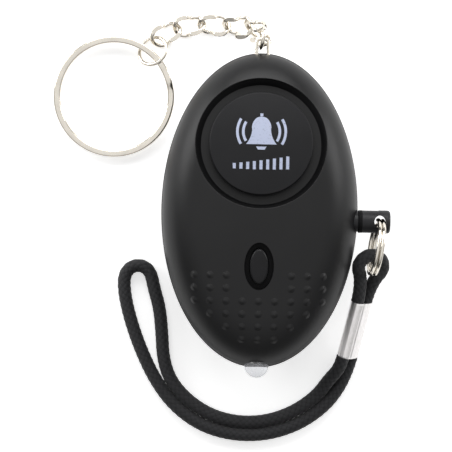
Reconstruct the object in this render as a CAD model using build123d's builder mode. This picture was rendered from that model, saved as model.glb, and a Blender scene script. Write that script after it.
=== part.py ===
"""Personal safety alarm: an oval sounder casing with a pull pin, a key chain and a wrist strap.

Millimetres, +Z up. The alarm lies on its back. The origin is the middle of the flat on the
back, +Y is the end with the key chain, -Y the end with the lamp and +X the side of the pin.
"""

import math
import os

from build123d import *

os.makedirs("parts", exist_ok=True)

# Casing: two domed halves, oval in plan
case_length = 65.0
case_width = 40.6
case_height = 22.0
half_width = case_width / 2
half_length = case_length / 2
widest_height = case_height / 2
seam_height = case_height * 0.568
front_shoulder = case_height * 0.432
rear_shoulder = case_height * 0.364
rest_flat = case_width * 0.222
rest_trim = 0.04
wall = 1.6
seam_groove = 0.35
tongue_height = 1.1
tongue_thickness = 0.9
fit = 0.05
overrun = case_height

# Sound opening: a tilted round recess with a loose-looking cap standing in it
recess_y = case_length * 0.211
recess_tilt = 6.0
recess_radius = case_width * 0.329
recess_depth = case_height * 0.164
recess_cove = recess_depth * 0.3
recess_floor = 1.4
cap_gap = 2.8
cap_radius = recess_radius - cap_gap
cap_crown = recess_depth * 0.22
cap_top_drop = recess_depth * 0.14
cap_thickness = recess_depth * 0.36
cap_edge = 0.3
cap_hub_radius = cap_radius * 0.4
cap_boss_radius = cap_radius * 0.15
slot_inner_radius = cap_radius * 0.5
slot_outer_radius = cap_radius * 0.87
slot_count = 6
slot_rib = 1.8

# Sounder: a brass plate with a ceramic disc, glued under the recess
plate_radius = cap_radius * 0.91
plate_thickness = 0.25
ceramic_radius = plate_radius * 0.68
ceramic_thickness = 0.2
sounder_ring_wall = 1.2
sounder_ring_height = case_height * 0.055

# Lamp button: an oval key in an oval moat
button_y = -case_length * 0.1755
button_width = 3.8
button_length = 7.2
button_gap = 0.12
button_proud = 0.4
button_crown = 0.3
button_travel = 0.6
button_flange = 0.8
button_flange_height = case_height * 0.036
moat_width = button_width + 2.1
moat_length = button_length + 2.4
moat_depth = case_height * 0.0455
key_guide_wall = 1.0
key_guide_depth = case_height * 0.109

# Raised grip dots below the button
dot_radius = 0.65
dot_height = 0.35
dot_pitch_x = case_width * 0.0808
dot_pitch_y = case_length * 0.0403
dot_first_y = -case_length * 0.2046
dot_sides = 6
dot_rows = [(2, 3, 4), (2, 3, 4), (0, 1, 2, 3, 4), (0, 1, 2, 3), (0, 1, 2), (0, 1)]

# Circuit board, switch and inner parts
board_bottom = case_height * 0.45
board_thickness = 1.2
board_width = case_width * 0.345
board_back_y = -case_length * 0.385
board_front_y = case_length * 0.335
switch_size = 6.0
switch_height = case_height * 0.15
plunger_radius = 1.7
plunger_height = 0.8
plunger_depth = 1.2
plunger_gap = 0.04
chip_length = 4.9
chip_width = 3.9
chip_height = 1.5
chip_y = -case_length * 0.046
coil_radius = 3.6
coil_core_radius = 1.6
coil_height = case_height * 0.118
coil_flange = coil_height * 0.2
coil_sides = 16
coil_y = case_length * 0.185
part_seat = 0.05

# Three button cells in a tray, stacked under the board
cell_radius = 5.8
cell_gap = 0.4
cell_count = 3
tray_bottom = case_height * 0.141
tray_floor = 0.8
tray_wall = 0.8
tray_play = 0.1
contact_thickness = 0.3
strip_thickness = 0.2
contact_width = 6.0
seat_rib_width = 1.2
cell_bottom = tray_bottom + tray_floor + contact_thickness + part_seat
cell_height = board_bottom - strip_thickness - part_seat - cell_bottom
tray_height = tray_floor + cell_height * 0.89

# Lamp: a clear lens on two leads
lamp_radius = 2.5
lamp_length = 8.6
lamp_flange_radius = 2.9
lamp_flange = 1.0
lamp_proud = 2.0
lamp_seat_wall = 1.2
lead_size = 0.5
lead_pitch = 2.54
lead_reach = 3.2

# Case screws, driven from the back
screw_front_y = case_length * 0.403
screw_back_y = -case_length * 0.2615
screw_x = case_width * 0.2512
screw_spots = [(0.0, screw_front_y), (-screw_x, screw_back_y), (screw_x, screw_back_y)]
screw_radius = 1.0
screw_head_radius = 1.9
screw_head_height = 1.3
screw_sink = case_height * 0.291
screw_bite = case_height * 0.11
screw_tip_room = 0.2
screw_slot = 0.5
screw_sides = 12
boss_sides = 12
screw_play = 0.1
boss_radius = 2.9

# Pull pin: plastic head on a steel shaft in a sleeve
pin_y = -case_length * 0.0292
pin_head_start = half_width
pin_head_length = 6.65
pin_head_end = pin_head_start + pin_head_length
pin_head_radius = 2.3
pin_rim_radius = 2.38
pin_rim_length = 2.4
pin_round = 0.6
pin_neck_radius = 2.1
pin_neck_length = 1.3
pin_notch_play = 0.15
pin_hole_radius = 1.3
pin_hole_inset = 2.05
shaft_radius = 1.25
shaft_grip = 1.9
sleeve_radius = 2.6
sleeve_start = half_width * 0.562
shaft_tip = sleeve_start - 1.8
sleeve_flange_radius = 3.4
sleeve_flange = 1.0
sleeve_bore_play = 0.06
spring_thickness = 0.25
spring_width = 1.8
spring_foot = 0.8

# Bail: a steel loop trapped at the chain end
bail_wire = 0.75
bail_width = 3.15
bail_standing = 3.2
bail_reach = half_length + bail_standing
bail_corner = 0.7
bail_hold = 3.6
bail_root = half_length - bail_hold
bail_foot = 2.2
bail_sink = 0.9
bail_sides = 8

# Curb chain: six twisted and filed links
link_length = 7.25
link_wire = 0.9
link_bow = 2.2
link_twist = 36.0
link_thickness = 2.7
link_play = 0.15
wire_sides = 10
bow_steps = 8
strand_steps = 3
chain_headings = [97.0, 151.2, 172.5, 178.3, 189.5, 209.5]
chain_slopes = [70.3, 57.1, 24.4, -7.3, 6.0, 0.2]
chain_rolls = [-106.7, -32.2, -21.6, -12.1, -1.2, 0.4]

# Jump ring and key ring
jump_offset = (-0.406, -2.341, 0.665)
jump_wire = 0.8
jump_radius = 3.15
jump_tilt = 31.8
jump_gap = 0.25
jump_gap_turn = 235.0
ring_heading = 50.3
key_ring_offset = (-8.05, -9.75, -0.52)
key_ring_radius = 12.05
key_ring_band = 1.4
key_ring_turn = 0.9
key_ring_tilt = 2.4
key_ring_step = 14.0
key_ring_start = 22.0
ring_edge = 0.18

# Pin ring: a small split ring through the head of the pin
pin_ring_radius = 5.55
pin_ring_band = 0.9
pin_ring_turn = 0.85
pin_ring_step = 20.0
pin_ring_start = 205.0
pin_ring_heading = 262.5
pin_ring_hold = 5.26
pin_ring_lean = 5.0

# Wrist strap: a cord clamped double in a folded ferrule
cord_diameter = 2.8
cord_sides = 8
cord_pair = 2.82
cord_rest = cord_diameter / 2
ferrule_top = (21.75, -18.5, 7.4)
ferrule_length = 12.4
ferrule_heading = 257.4
ferrule_slope = 15.6
ferrule_width = 5.0
ferrule_thickness = 3.4
ferrule_wall = 0.5
ferrule_chamfer = 1.2
ferrule_seam = 1.3
ferrule_roll = -50.0
core_play = 0.02
loop_roll = -22.0
loop_radius = 2.75
loop_reach = 7.5
loop_start = 5.1
loop_exit = 1.9
strand_exit = 2.6
outer_strand = [
    (17.6, -37.2),
    (14.4, -41.3),
    (9.2, -45.0),
    (2.6, -47.25),
    (-4.6, -47.45),
    (-11.4, -45.55),
    (-17.1, -41.5),
    (-21.3, -36.0),
    (-24.5, -29.4),
    (-26.6, -23.6),
    (-27.9, -18.6),
    (-28.25, -14.4),
]
strap_fold = [(-26.85, -12.3), (-24.5, -11.9), (-22.55, -13.3)]
inner_strand = [
    (-21.75, -16.9),
    (-20.55, -20.8),
    (-19.95, -26.0),
    (-19.55, -31.4),
    (-17.85, -35.95),
    (-14.35, -39.95),
    (-9.4, -43.05),
    (-3.5, -44.55),
    (2.5, -44.15),
    (8.1, -42.0),
    (12.8, -38.6),
]
strand_lift = (15.2, -35.0, 2.9)

stretch_at_wall = (half_length - wall) / (half_width - wall)


def along(origin, direction, distance):
    """The point that lies a distance along a direction."""
    return Vector(*origin) + Vector(*direction) * distance


# Casing surfaces


def oval_profile(inset):
    """Half of the casing's cross-section, drawn inset from the outside, in tangent arcs."""
    reach = half_width - inset
    bottom, top = inset - rest_trim, case_height - inset
    flat = rest_flat / 2
    rear, front = rear_shoulder - inset, front_shoulder - inset
    rear_run, rear_rise = reach - rear - flat, widest_height - bottom
    front_run, front_rise = reach - front, top - widest_height
    rear_crown = (rear_run**2 + rear_rise**2 - rear**2) / (2 * (rear_rise - rear))
    front_crown = (front_run**2 + front_rise**2 - front**2) / (2 * (front_rise - front))
    rear_turn = math.degrees(math.atan2(rear_crown - rear_rise, rear_run))
    front_turn = math.degrees(math.atan2(front_crown - front_rise, front_run))
    Line((0, top), (0, bottom))
    Line((0, bottom), (flat, bottom))
    CenterArc((flat, bottom + rear_crown), rear_crown, -90, 90 - rear_turn)
    CenterArc((reach - rear, widest_height), rear, -rear_turn, rear_turn)
    CenterArc((reach - front, widest_height), front, 0, front_turn)
    CenterArc((0, top - front_crown), front_crown, front_turn, 90 - front_turn)


def front_surface_height(x, y):
    """Height of the outer front surface above a place in plan."""
    reach = math.hypot(x, y * half_width / half_length)
    run, rise = half_width - front_shoulder, case_height - widest_height
    crown = (run**2 + rise**2 - front_shoulder**2) / (2 * (rise - front_shoulder))
    if reach <= run * crown / (crown - front_shoulder):
        return case_height - crown + math.sqrt(crown**2 - reach**2)
    return widest_height + math.sqrt(front_shoulder**2 - (reach - run) ** 2)


def oval_solid(inset):
    with BuildPart() as oval:
        with BuildSketch(Plane.XZ):
            with BuildLine():
                oval_profile(inset)
            make_face()
        revolve(axis=Axis.Z)
        scale(by=(1, (half_length - inset) / (half_width - inset), 1))
    return oval.part


outside = oval_solid(0)
inside = oval_solid(wall)

cap_plane = Plane(
    origin=(0, recess_y, front_surface_height(0, recess_y)),
    x_dir=(1, 0, 0),
    z_dir=(0, math.sin(math.radians(recess_tilt)), math.cos(math.radians(recess_tilt))),
)
pin_z = seam_height
lamp_z = seam_height
bail_z = seam_height
board_top = board_bottom + board_thickness
pin_plane = Plane(origin=(0, pin_y, pin_z), x_dir=(0, 1, 0), z_dir=(1, 0, 0))
lamp_end = -half_length - lamp_proud
lamp_plane = Plane(origin=(0, lamp_end, lamp_z), x_dir=(1, 0, 0), z_dir=(0, 1, 0))
lamp_flange_start = lamp_length - lamp_flange
bail_leg_x = (bail_width - bail_wire) / 2
tongue_reach = half_width - wall - tongue_thickness / 2
button_top = front_surface_height(0, button_y) + button_proud
key_floor = front_surface_height(0, button_y) - moat_depth

# Everything that both halves leave open at the seam
with BuildPart() as seam_openings:
    with BuildSketch(pin_plane.offset(sleeve_start - fit)):
        Circle(sleeve_radius + fit)
    extrude(amount=pin_head_start - pin_neck_length - sleeve_start + fit)
    with BuildSketch(pin_plane.offset(pin_head_start - pin_neck_length)):
        Circle(pin_head_radius + pin_notch_play)
    extrude(amount=overrun)
    with BuildSketch(lamp_plane):
        Circle(lamp_radius + fit)
    extrude(amount=lamp_length - lamp_flange + fit)
    with BuildSketch(lamp_plane.offset(lamp_flange_start - fit)):
        Circle(lamp_flange_radius + fit)
    extrude(amount=overrun / 2)
    for side in (-1, 1):
        with BuildSketch(Plane(origin=(side * bail_leg_x, bail_root, bail_z), z_dir=(0, 1, 0))):
            Circle(bail_wire / 2 + fit)
        extrude(amount=overrun)
    with BuildSketch(Plane.XZ.offset(-bail_root + bail_wire / 2 + bail_sink)):
        with Locations((0, bail_z)):
            Rectangle(bail_width + 2 * bail_foot + bail_wire, bail_wire + 2 * fit)
    extrude(amount=-bail_wire - 2 * bail_sink)

# Cavity of the front half: the inner oval less the recess bowl, key guide, bosses and seats
with BuildPart() as front_cavity:
    add(inside)
    with BuildSketch(cap_plane.offset(-recess_depth - recess_floor)):
        Circle(recess_radius + wall - fit)
    extrude(amount=overrun, mode=Mode.SUBTRACT)
    with BuildSketch(cap_plane.offset(-recess_depth - recess_floor - sounder_ring_height)):
        Circle(plate_radius + sounder_ring_wall)
        Circle(plate_radius - sounder_ring_wall, mode=Mode.SUBTRACT)
    extrude(amount=sounder_ring_height + recess_floor, mode=Mode.SUBTRACT)
    with BuildSketch(Plane.XY.offset(key_floor - key_guide_depth)):
        with Locations((0, button_y)):
            Ellipse(moat_width / 2 + key_guide_wall, moat_length / 2 + key_guide_wall)
    extrude(amount=overrun, mode=Mode.SUBTRACT)
    with BuildSketch(Plane.XY.offset(seam_height)):
        with Locations(*screw_spots):
            RegularPolygon(boss_radius, boss_sides)
    extrude(amount=overrun, mode=Mode.SUBTRACT)

# Bodies that join the walls of both halves where the pin, the lamp and the bail are held
with BuildPart() as seam_seats:
    with BuildSketch(pin_plane.offset(sleeve_start + sleeve_flange + fit)):
        Circle(sleeve_flange_radius + wall)
    extrude(amount=half_width - sleeve_start)
    with BuildSketch(lamp_plane.offset(lamp_proud)):
        Circle(lamp_flange_radius + lamp_seat_wall)
    extrude(amount=lamp_length - lamp_proud)
    with BuildSketch(Plane.XY.offset(bail_z - bail_wire - wall)):
        with Locations((0, (half_length + bail_root - bail_wire - bail_sink) / 2)):
            Rectangle(
                bail_width + 2 * bail_foot + 2 * wall,
                half_length - bail_root + bail_wire + bail_sink + wall,
            )
    extrude(amount=2 * (bail_wire + wall))
    add(outside, mode=Mode.INTERSECT)

with BuildPart() as dots:
    for row, columns in enumerate(dot_rows):
        y = dot_first_y - row * dot_pitch_y
        row_columns = sorted({side * column for column in columns for side in (-1, 1)})
        for column in row_columns:
            x = column * dot_pitch_x
            base = front_surface_height(x, y)
            with BuildSketch(Plane.XY.offset(base - dot_radius)) as foot:
                with Locations((x, y)):
                    RegularPolygon(dot_radius, dot_sides)
            extrude(amount=dot_radius + dot_height, taper=12)

# Front half: crown with the recess, the moat, the key hole and the grip dots
with BuildPart() as front_shell:
    add(outside)
    add(front_cavity.part, mode=Mode.SUBTRACT)
    add(seam_seats.part)
    split(bisect_by=Plane.XY.offset(seam_height), keep=Keep.TOP)
    with BuildSketch(Plane(cap_plane.origin, x_dir=cap_plane.x_dir, z_dir=-cap_plane.y_dir)):
        with BuildLine():
            Polyline(
                (recess_radius, -recess_depth + recess_cove),
                (recess_radius, overrun),
                (0, overrun),
                (0, -recess_depth),
                (recess_radius - recess_cove, -recess_depth),
                close=True,
            )
        make_face()
    revolve(axis=Axis(cap_plane.origin, cap_plane.z_dir), mode=Mode.SUBTRACT)
    with BuildSketch(cap_plane.offset(-recess_depth)):
        Circle(slot_outer_radius)
        Circle(slot_inner_radius, mode=Mode.SUBTRACT)
        with PolarLocations(0, slot_count):
            with Locations((slot_outer_radius / 2, 0)):
                Rectangle(slot_outer_radius * 2, slot_rib, mode=Mode.SUBTRACT)
    extrude(amount=-recess_floor - fit, mode=Mode.SUBTRACT)
    with BuildSketch(cap_plane.offset(-recess_depth)):
        Circle(cap_boss_radius + fit)
    extrude(amount=-recess_floor - fit, mode=Mode.SUBTRACT)
    with BuildSketch(Plane.XY.offset(key_floor)):
        with Locations((0, button_y)):
            Ellipse(moat_width / 2, moat_length / 2)
    extrude(amount=overrun, mode=Mode.SUBTRACT)
    with BuildSketch(Plane.XY.offset(key_floor)):
        with Locations((0, button_y)):
            Ellipse(button_width / 2 + button_gap, button_length / 2 + button_gap)
    extrude(amount=-overrun, mode=Mode.SUBTRACT)
    with BuildSketch(Plane.XY.offset(key_floor - wall)):
        with Locations((0, button_y)):
            Ellipse(
                button_width / 2 + button_flange + button_gap,
                button_length / 2 + button_flange + button_gap,
            )
    extrude(amount=-overrun, mode=Mode.SUBTRACT)
    with BuildSketch(Plane.XY.offset(seam_height)):
        with Locations(*screw_spots):
            RegularPolygon(screw_radius, screw_sides)
    extrude(amount=screw_bite, mode=Mode.SUBTRACT)
    add(seam_openings.part, mode=Mode.SUBTRACT)
    with BuildSketch(Plane.XY.offset(seam_height)):
        Ellipse(half_width + wall, half_length + wall)
        Ellipse(half_width - seam_groove * 2, half_length - seam_groove * 2, mode=Mode.SUBTRACT)
    extrude(amount=seam_groove, mode=Mode.SUBTRACT)
    add(dots.part)
    front_shell.part.label = "front_shell"

# Rear half: belly with the tongue, screw pillars and ribs for the cell tray
with BuildPart() as rear_cavity:
    add(inside)
    with BuildSketch(Plane.XY):
        with Locations(*screw_spots):
            RegularPolygon(boss_radius, boss_sides)
    extrude(amount=seam_height, mode=Mode.SUBTRACT)
    with BuildSketch(Plane.XY):
        with Locations((0, -cell_radius), (0, cell_radius)):
            Rectangle(board_width, seat_rib_width)
    extrude(amount=tray_bottom, mode=Mode.SUBTRACT)
    with BuildSketch(Plane.XY):
        for end_y in (board_back_y + seat_rib_width, board_front_y - seat_rib_width):
            with Locations((0, end_y)):
                Rectangle(board_width, seat_rib_width)
    extrude(amount=board_bottom, mode=Mode.SUBTRACT)

with BuildPart() as rear_shell:
    add(outside)
    split(bisect_by=Plane.XY, keep=Keep.TOP)
    add(rear_cavity.part, mode=Mode.SUBTRACT)
    add(seam_seats.part)
    split(bisect_by=Plane.XY.offset(seam_height), keep=Keep.BOTTOM)
    with BuildSketch(Plane.XY.offset(seam_height - 2 * tongue_height)):
        Ellipse(tongue_reach, tongue_reach * stretch_at_wall)
        Ellipse(
            tongue_reach - tongue_thickness,
            (tongue_reach - tongue_thickness) * stretch_at_wall,
            mode=Mode.SUBTRACT,
        )
    extrude(amount=3 * tongue_height)
    with BuildSketch(Plane.XY.offset(seam_height - 2 * tongue_height)):
        Ellipse(half_width - wall / 2, half_length - wall / 2)
        Ellipse(
            tongue_reach - tongue_thickness / 2,
            (tongue_reach - tongue_thickness / 2) * stretch_at_wall,
            mode=Mode.SUBTRACT,
        )
    extrude(amount=2 * tongue_height)
    with BuildSketch(Plane.XY.offset(seam_height)):
        with Locations((half_width, pin_y)):
            Rectangle(2 * wall + 4 * sleeve_flange_radius, 2 * (sleeve_flange_radius + 2 * wall))
        with Locations((0, -half_length)):
            Rectangle(
                2 * (lamp_flange_radius + lamp_seat_wall + fit) + wall,
                2 * (lamp_length + 2 * wall),
            )
        with Locations((0, half_length)):
            Rectangle(
                bail_width + 2 * bail_foot + 3 * wall, 2 * (half_length - bail_root + 2 * wall)
            )
    extrude(amount=overrun, mode=Mode.SUBTRACT)
    add(seam_openings.part, mode=Mode.SUBTRACT)
    with BuildSketch(Plane.XY.offset(screw_sink)):
        with Locations(*screw_spots):
            RegularPolygon(screw_head_radius + screw_play, boss_sides)
    extrude(amount=-overrun, mode=Mode.SUBTRACT)
    with BuildSketch(Plane.XY.offset(screw_sink)):
        with Locations(*screw_spots):
            RegularPolygon(screw_radius + screw_play, screw_sides)
    extrude(amount=overrun, mode=Mode.SUBTRACT)
    rear_shell.part.label = "rear_shell"

# Cap over the sound slots: a shallow dome on a hub
cap_top = -cap_top_drop
cap_bottom = cap_top - cap_crown - cap_thickness
crown_radius = (cap_radius**2 + cap_crown**2) / (2 * cap_crown)
with BuildPart() as speaker_cap:
    with BuildSketch(Plane(cap_plane.origin, x_dir=cap_plane.x_dir, z_dir=-cap_plane.y_dir)):
        with BuildLine():
            Polyline(
                (0, cap_top),
                (0, cap_bottom),
                (cap_radius, cap_bottom),
                (cap_radius, cap_top - cap_crown),
            )
            RadiusArc((0, cap_top), (cap_radius, cap_top - cap_crown), crown_radius)
        make_face()
    revolve(axis=Axis(cap_plane.origin, cap_plane.z_dir))
    chamfer(speaker_cap.edges().filter_by(GeomType.CIRCLE).sort_by(SortBy.LENGTH)[-2:], cap_edge)
    with BuildSketch(cap_plane.offset(-recess_depth)):
        Circle(cap_hub_radius)
    extrude(amount=cap_bottom + recess_depth)
    with BuildSketch(cap_plane.offset(-recess_depth - recess_floor)):
        Circle(cap_boss_radius)
    extrude(amount=recess_floor)
    speaker_cap.part.label = "speaker_cap"

plate_top = -recess_depth - recess_floor - sounder_ring_height
with BuildPart() as sounder_plate:
    with BuildSketch(cap_plane.offset(plate_top - plate_thickness)):
        Circle(plate_radius)
    extrude(amount=plate_thickness)
    sounder_plate.part.label = "sounder_plate"

with BuildPart() as sounder_ceramic:
    with BuildSketch(cap_plane.offset(plate_top - plate_thickness - ceramic_thickness)):
        Circle(ceramic_radius)
    extrude(amount=ceramic_thickness)
    sounder_ceramic.part.label = "sounder_ceramic"

# Lamp button: the key, its retaining flange and the stem over the switch
stem_bottom = board_top + switch_height + plunger_height + plunger_gap
flange_top = key_floor - wall - fit
with BuildPart() as led_button:
    with BuildSketch(Plane.XY.offset(flange_top)):
        with Locations((0, button_y)):
            Ellipse(button_width / 2, button_length / 2)
    extrude(amount=button_top - flange_top)
    chamfer(led_button.edges().group_by(Axis.Z)[-1], button_crown)
    with BuildSketch(Plane.XY.offset(flange_top - button_flange_height)):
        with Locations((0, button_y)):
            Ellipse(button_width / 2 + button_flange, button_length / 2 + button_flange)
    extrude(amount=button_flange_height)
    with BuildSketch(Plane.XY.offset(stem_bottom)):
        with Locations((0, button_y)):
            Circle(plunger_radius)
    extrude(amount=flange_top - stem_bottom)
    led_button.part.label = "led_button"

# Circuit board with its switch, chip and boost coil
with BuildPart() as circuit_board:
    with BuildSketch(Plane.XY.offset(board_bottom)):
        with Locations((0, (board_back_y + board_front_y) / 2)):
            RectangleRounded(board_width, board_front_y - board_back_y, 2 * wall)
    extrude(amount=board_thickness)
    circuit_board.part.label = "circuit_board"

with BuildPart() as switch_body:
    with BuildSketch(Plane.XY.offset(board_top)):
        with Locations((0, button_y)):
            Rectangle(switch_size, switch_size)
    extrude(amount=switch_height)
    chamfer(switch_body.edges().filter_by(Axis.Z), switch_size / 10)
    with BuildSketch(Plane.XY.offset(board_top + switch_height)):
        with Locations((0, button_y)):
            Circle(plunger_radius + plunger_gap)
    extrude(amount=-plunger_depth - button_travel, mode=Mode.SUBTRACT)
    switch_body.part.label = "switch_body"

with BuildPart() as switch_plunger:
    with BuildSketch(Plane.XY.offset(board_top + switch_height - plunger_depth + plunger_gap)):
        with Locations((0, button_y)):
            Circle(plunger_radius)
    extrude(amount=plunger_depth + plunger_height - plunger_gap)
    switch_plunger.part.label = "switch_plunger"

with BuildPart() as driver_chip:
    with BuildSketch(Plane.XY.offset(board_top)):
        with Locations((0, chip_y)):
            Rectangle(chip_width, chip_length)
    extrude(amount=chip_height)
    chamfer(driver_chip.edges().group_by(Axis.Z)[-1], chip_height / 5)
    driver_chip.part.label = "driver_chip"

with BuildPart() as coil_core:
    with BuildSketch(Plane.XY.offset(board_top)):
        with Locations((0, coil_y)):
            RegularPolygon(coil_radius, coil_sides)
    extrude(amount=coil_flange)
    with BuildSketch(Plane.XY.offset(board_top)):
        with Locations((0, coil_y)):
            RegularPolygon(coil_core_radius, coil_sides)
    extrude(amount=coil_height)
    coil_core.part.label = "coil_core"

with BuildPart() as coil_winding:
    with BuildSketch(Plane.XY.offset(board_top + coil_flange)):
        with Locations((0, coil_y)):
            RegularPolygon(coil_radius - coil_flange, coil_sides)
            RegularPolygon(coil_core_radius + fit, coil_sides, mode=Mode.SUBTRACT)
    extrude(amount=coil_height - 2 * coil_flange)
    coil_winding.part.label = "coil_winding"

# Cell tray and the three cells
cell_pitch = 2 * cell_radius + cell_gap
cell_places = [(0, (index - (cell_count - 1) / 2) * cell_pitch) for index in range(cell_count)]
tray_run = cell_pitch * (cell_count - 1) + 2 * (cell_radius + tray_play + tray_wall)
with BuildPart() as cell_tray:
    with BuildSketch(Plane.XY.offset(tray_bottom)):
        SlotOverall(tray_run, 2 * (cell_radius + tray_play + tray_wall), rotation=90)
    extrude(amount=tray_height)
    with BuildSketch(Plane.XY.offset(tray_bottom + tray_floor)):
        with Locations(*cell_places):
            Circle(cell_radius + tray_play)
    extrude(amount=tray_height, mode=Mode.SUBTRACT)
    cell_tray.part.label = "cell_tray"

cells = []
for index, place in enumerate(cell_places):
    with BuildPart() as cell:
        with BuildSketch(Plane.XY.offset(cell_bottom)):
            with Locations(place):
                Circle(cell_radius)
        extrude(amount=cell_height)
        chamfer(cell.edges().group_by(Axis.Z)[-1], cell_gap)
        cell.part.label = f"cell_{index + 1}"
    cells.append(cell)

with BuildPart() as lower_contact:
    with BuildSketch(Plane.XY.offset(tray_bottom + tray_floor)):
        with Locations(*cell_places):
            RegularPolygon(contact_width / 2, boss_sides)
    extrude(amount=contact_thickness)
    lower_contact.part.label = "lower_contact"

upper_contact_bottom = cell_bottom + cell_height + part_seat
with BuildPart() as upper_contact:
    with BuildSketch(Plane.XY.offset(upper_contact_bottom)):
        with Locations((0, 0)):
            SlotOverall(2 * cell_pitch, contact_width, rotation=90)
    extrude(amount=board_bottom - upper_contact_bottom)
    upper_contact.part.label = "upper_contact"

# Lamp lens and its leads
with BuildPart() as lamp_lens:
    with BuildSketch(lamp_plane.offset(lamp_radius)):
        Circle(lamp_radius)
    extrude(amount=lamp_length - lamp_radius)
    with Locations(lamp_plane.offset(lamp_radius)):
        Sphere(lamp_radius)
    with BuildSketch(lamp_plane.offset(lamp_flange_start)):
        Circle(lamp_flange_radius)
    extrude(amount=lamp_flange)
    lamp_lens.part.label = "lamp_lens"

lead_start = lamp_end + lamp_length
with BuildPart() as lamp_leads:
    for side in (-1, 1):
        with BuildLine() as lead_path:
            FilletPolyline(
                (side * lead_pitch / 2, lead_start, lamp_z),
                (side * lead_pitch / 2, lead_start + lead_reach, lamp_z),
                (side * lead_pitch / 2, lead_start + lead_reach, board_top),
                radius=lead_size,
            )
        with BuildSketch(Plane(lead_path.line @ 0, z_dir=lead_path.line % 0)):
            Rectangle(lead_size, lead_size)
        sweep(path=lead_path.line)
    lamp_leads.part.label = "lamp_leads"

# Screws from the back
with BuildPart() as case_screws:
    with BuildSketch(Plane.XY.offset(screw_sink)):
        with Locations(*screw_spots):
            RegularPolygon(screw_head_radius, boss_sides)
    extrude(amount=-screw_head_height)
    with BuildSketch(Plane.XY.offset(screw_sink)):
        with Locations(*screw_spots):
            RegularPolygon(screw_radius - fit, screw_sides)
    extrude(amount=seam_height + screw_bite - screw_tip_room - screw_sink)
    with BuildSketch(Plane.XY.offset(screw_sink - screw_head_height)):
        with Locations(*screw_spots):
            Rectangle(screw_head_radius * 2, screw_slot)
            Rectangle(screw_slot, screw_head_radius * 2)
    extrude(amount=screw_head_height / 2, mode=Mode.SUBTRACT)
    case_screws.part.label = "case_screws"

# Pull pin: head, shaft, sleeve and the two contact springs that the shaft parts
with BuildPart() as pull_pin:
    with BuildSketch(pin_plane.offset(pin_head_start)):
        Circle(pin_head_radius)
    extrude(amount=pin_head_end - pin_head_start)
    with BuildSketch(pin_plane.offset(pin_head_end - pin_rim_length)):
        Circle(pin_rim_radius)
    extrude(amount=pin_rim_length)
    chamfer(pull_pin.faces().sort_by(Axis.X)[-1].edges(), pin_round)
    with BuildSketch(pin_plane.offset(pin_head_start - pin_neck_length + fit)):
        Circle(pin_neck_radius)
    extrude(amount=pin_neck_length - fit)
    with BuildSketch(pin_plane.offset(pin_head_start - pin_neck_length + fit)):
        Circle(shaft_radius)
    extrude(amount=shaft_grip + pin_neck_length, mode=Mode.SUBTRACT)
    with BuildSketch(Plane.XY.offset(pin_z)):
        with Locations((pin_head_end - pin_hole_inset, pin_y)):
            Circle(pin_hole_radius)
    extrude(amount=pin_rim_radius * 2, both=True, mode=Mode.SUBTRACT)
    pull_pin.part.label = "pull_pin"

shaft_end = pin_head_start - pin_neck_length + fit + shaft_grip + pin_neck_length
with BuildPart() as pin_shaft:
    with BuildSketch(pin_plane.offset(shaft_tip)):
        Circle(shaft_radius)
    extrude(amount=shaft_end - shaft_tip)
    chamfer(pin_shaft.edges().sort_by(Axis.X)[0], shaft_radius / 2)
    pin_shaft.part.label = "pin_shaft"

with BuildPart() as pin_sleeve:
    with BuildSketch(pin_plane.offset(sleeve_start)):
        Circle(sleeve_radius)
    extrude(amount=pin_head_start - pin_neck_length - sleeve_start)
    with BuildSketch(pin_plane.offset(sleeve_start)):
        Circle(sleeve_flange_radius)
    extrude(amount=sleeve_flange)
    with BuildSketch(pin_plane.offset(sleeve_start)):
        Circle(shaft_radius + sleeve_bore_play)
    extrude(amount=overrun, mode=Mode.SUBTRACT)
    pin_sleeve.part.label = "pin_sleeve"

spring_gap = shaft_radius + fit
spring_start = board_width / 2 - spring_foot
with BuildPart() as contact_springs:
    for side in (-1, 1):
        blade_y = pin_y + side * (spring_gap + spring_thickness / 2)
        with BuildSketch(Plane.XY.offset(board_top)):
            with Locations(((spring_start + sleeve_start) / 2, blade_y)):
                Rectangle(sleeve_start - spring_start, spring_thickness)
        extrude(amount=pin_z - board_top + spring_width / 2)
    contact_springs.part.label = "contact_springs"

# Bail
with BuildPart() as chain_bail:
    with BuildLine() as bail_path:
        FilletPolyline(
            (-bail_leg_x - bail_foot, bail_root, bail_z),
            (-bail_leg_x, bail_root, bail_z),
            (-bail_leg_x, bail_reach - bail_wire / 2, bail_z),
            (bail_leg_x, bail_reach - bail_wire / 2, bail_z),
            (bail_leg_x, bail_root, bail_z),
            (bail_leg_x + bail_foot, bail_root, bail_z),
            radius=bail_corner,
        )
    with BuildSketch(Plane(bail_path.line @ 0, z_dir=bail_path.line % 0)):
        RegularPolygon(bail_wire / 2, bail_sides)
    sweep(path=bail_path.line)
    chain_bail.part.label = "chain_bail"

# Curb chain. Each link is drawn once, twisted about its length and filed flat on both faces.
bow_start = link_length / 2 - link_wire / 2 - link_bow
bow_side = link_bow * math.cos(math.radians(link_twist))
bow_rise = link_bow * math.sin(math.radians(link_twist))


def curve_points(curve, count):
    """Evenly spaced points along a curve, both ends included."""
    return [curve @ (step / count) for step in range(count + 1)]


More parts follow.
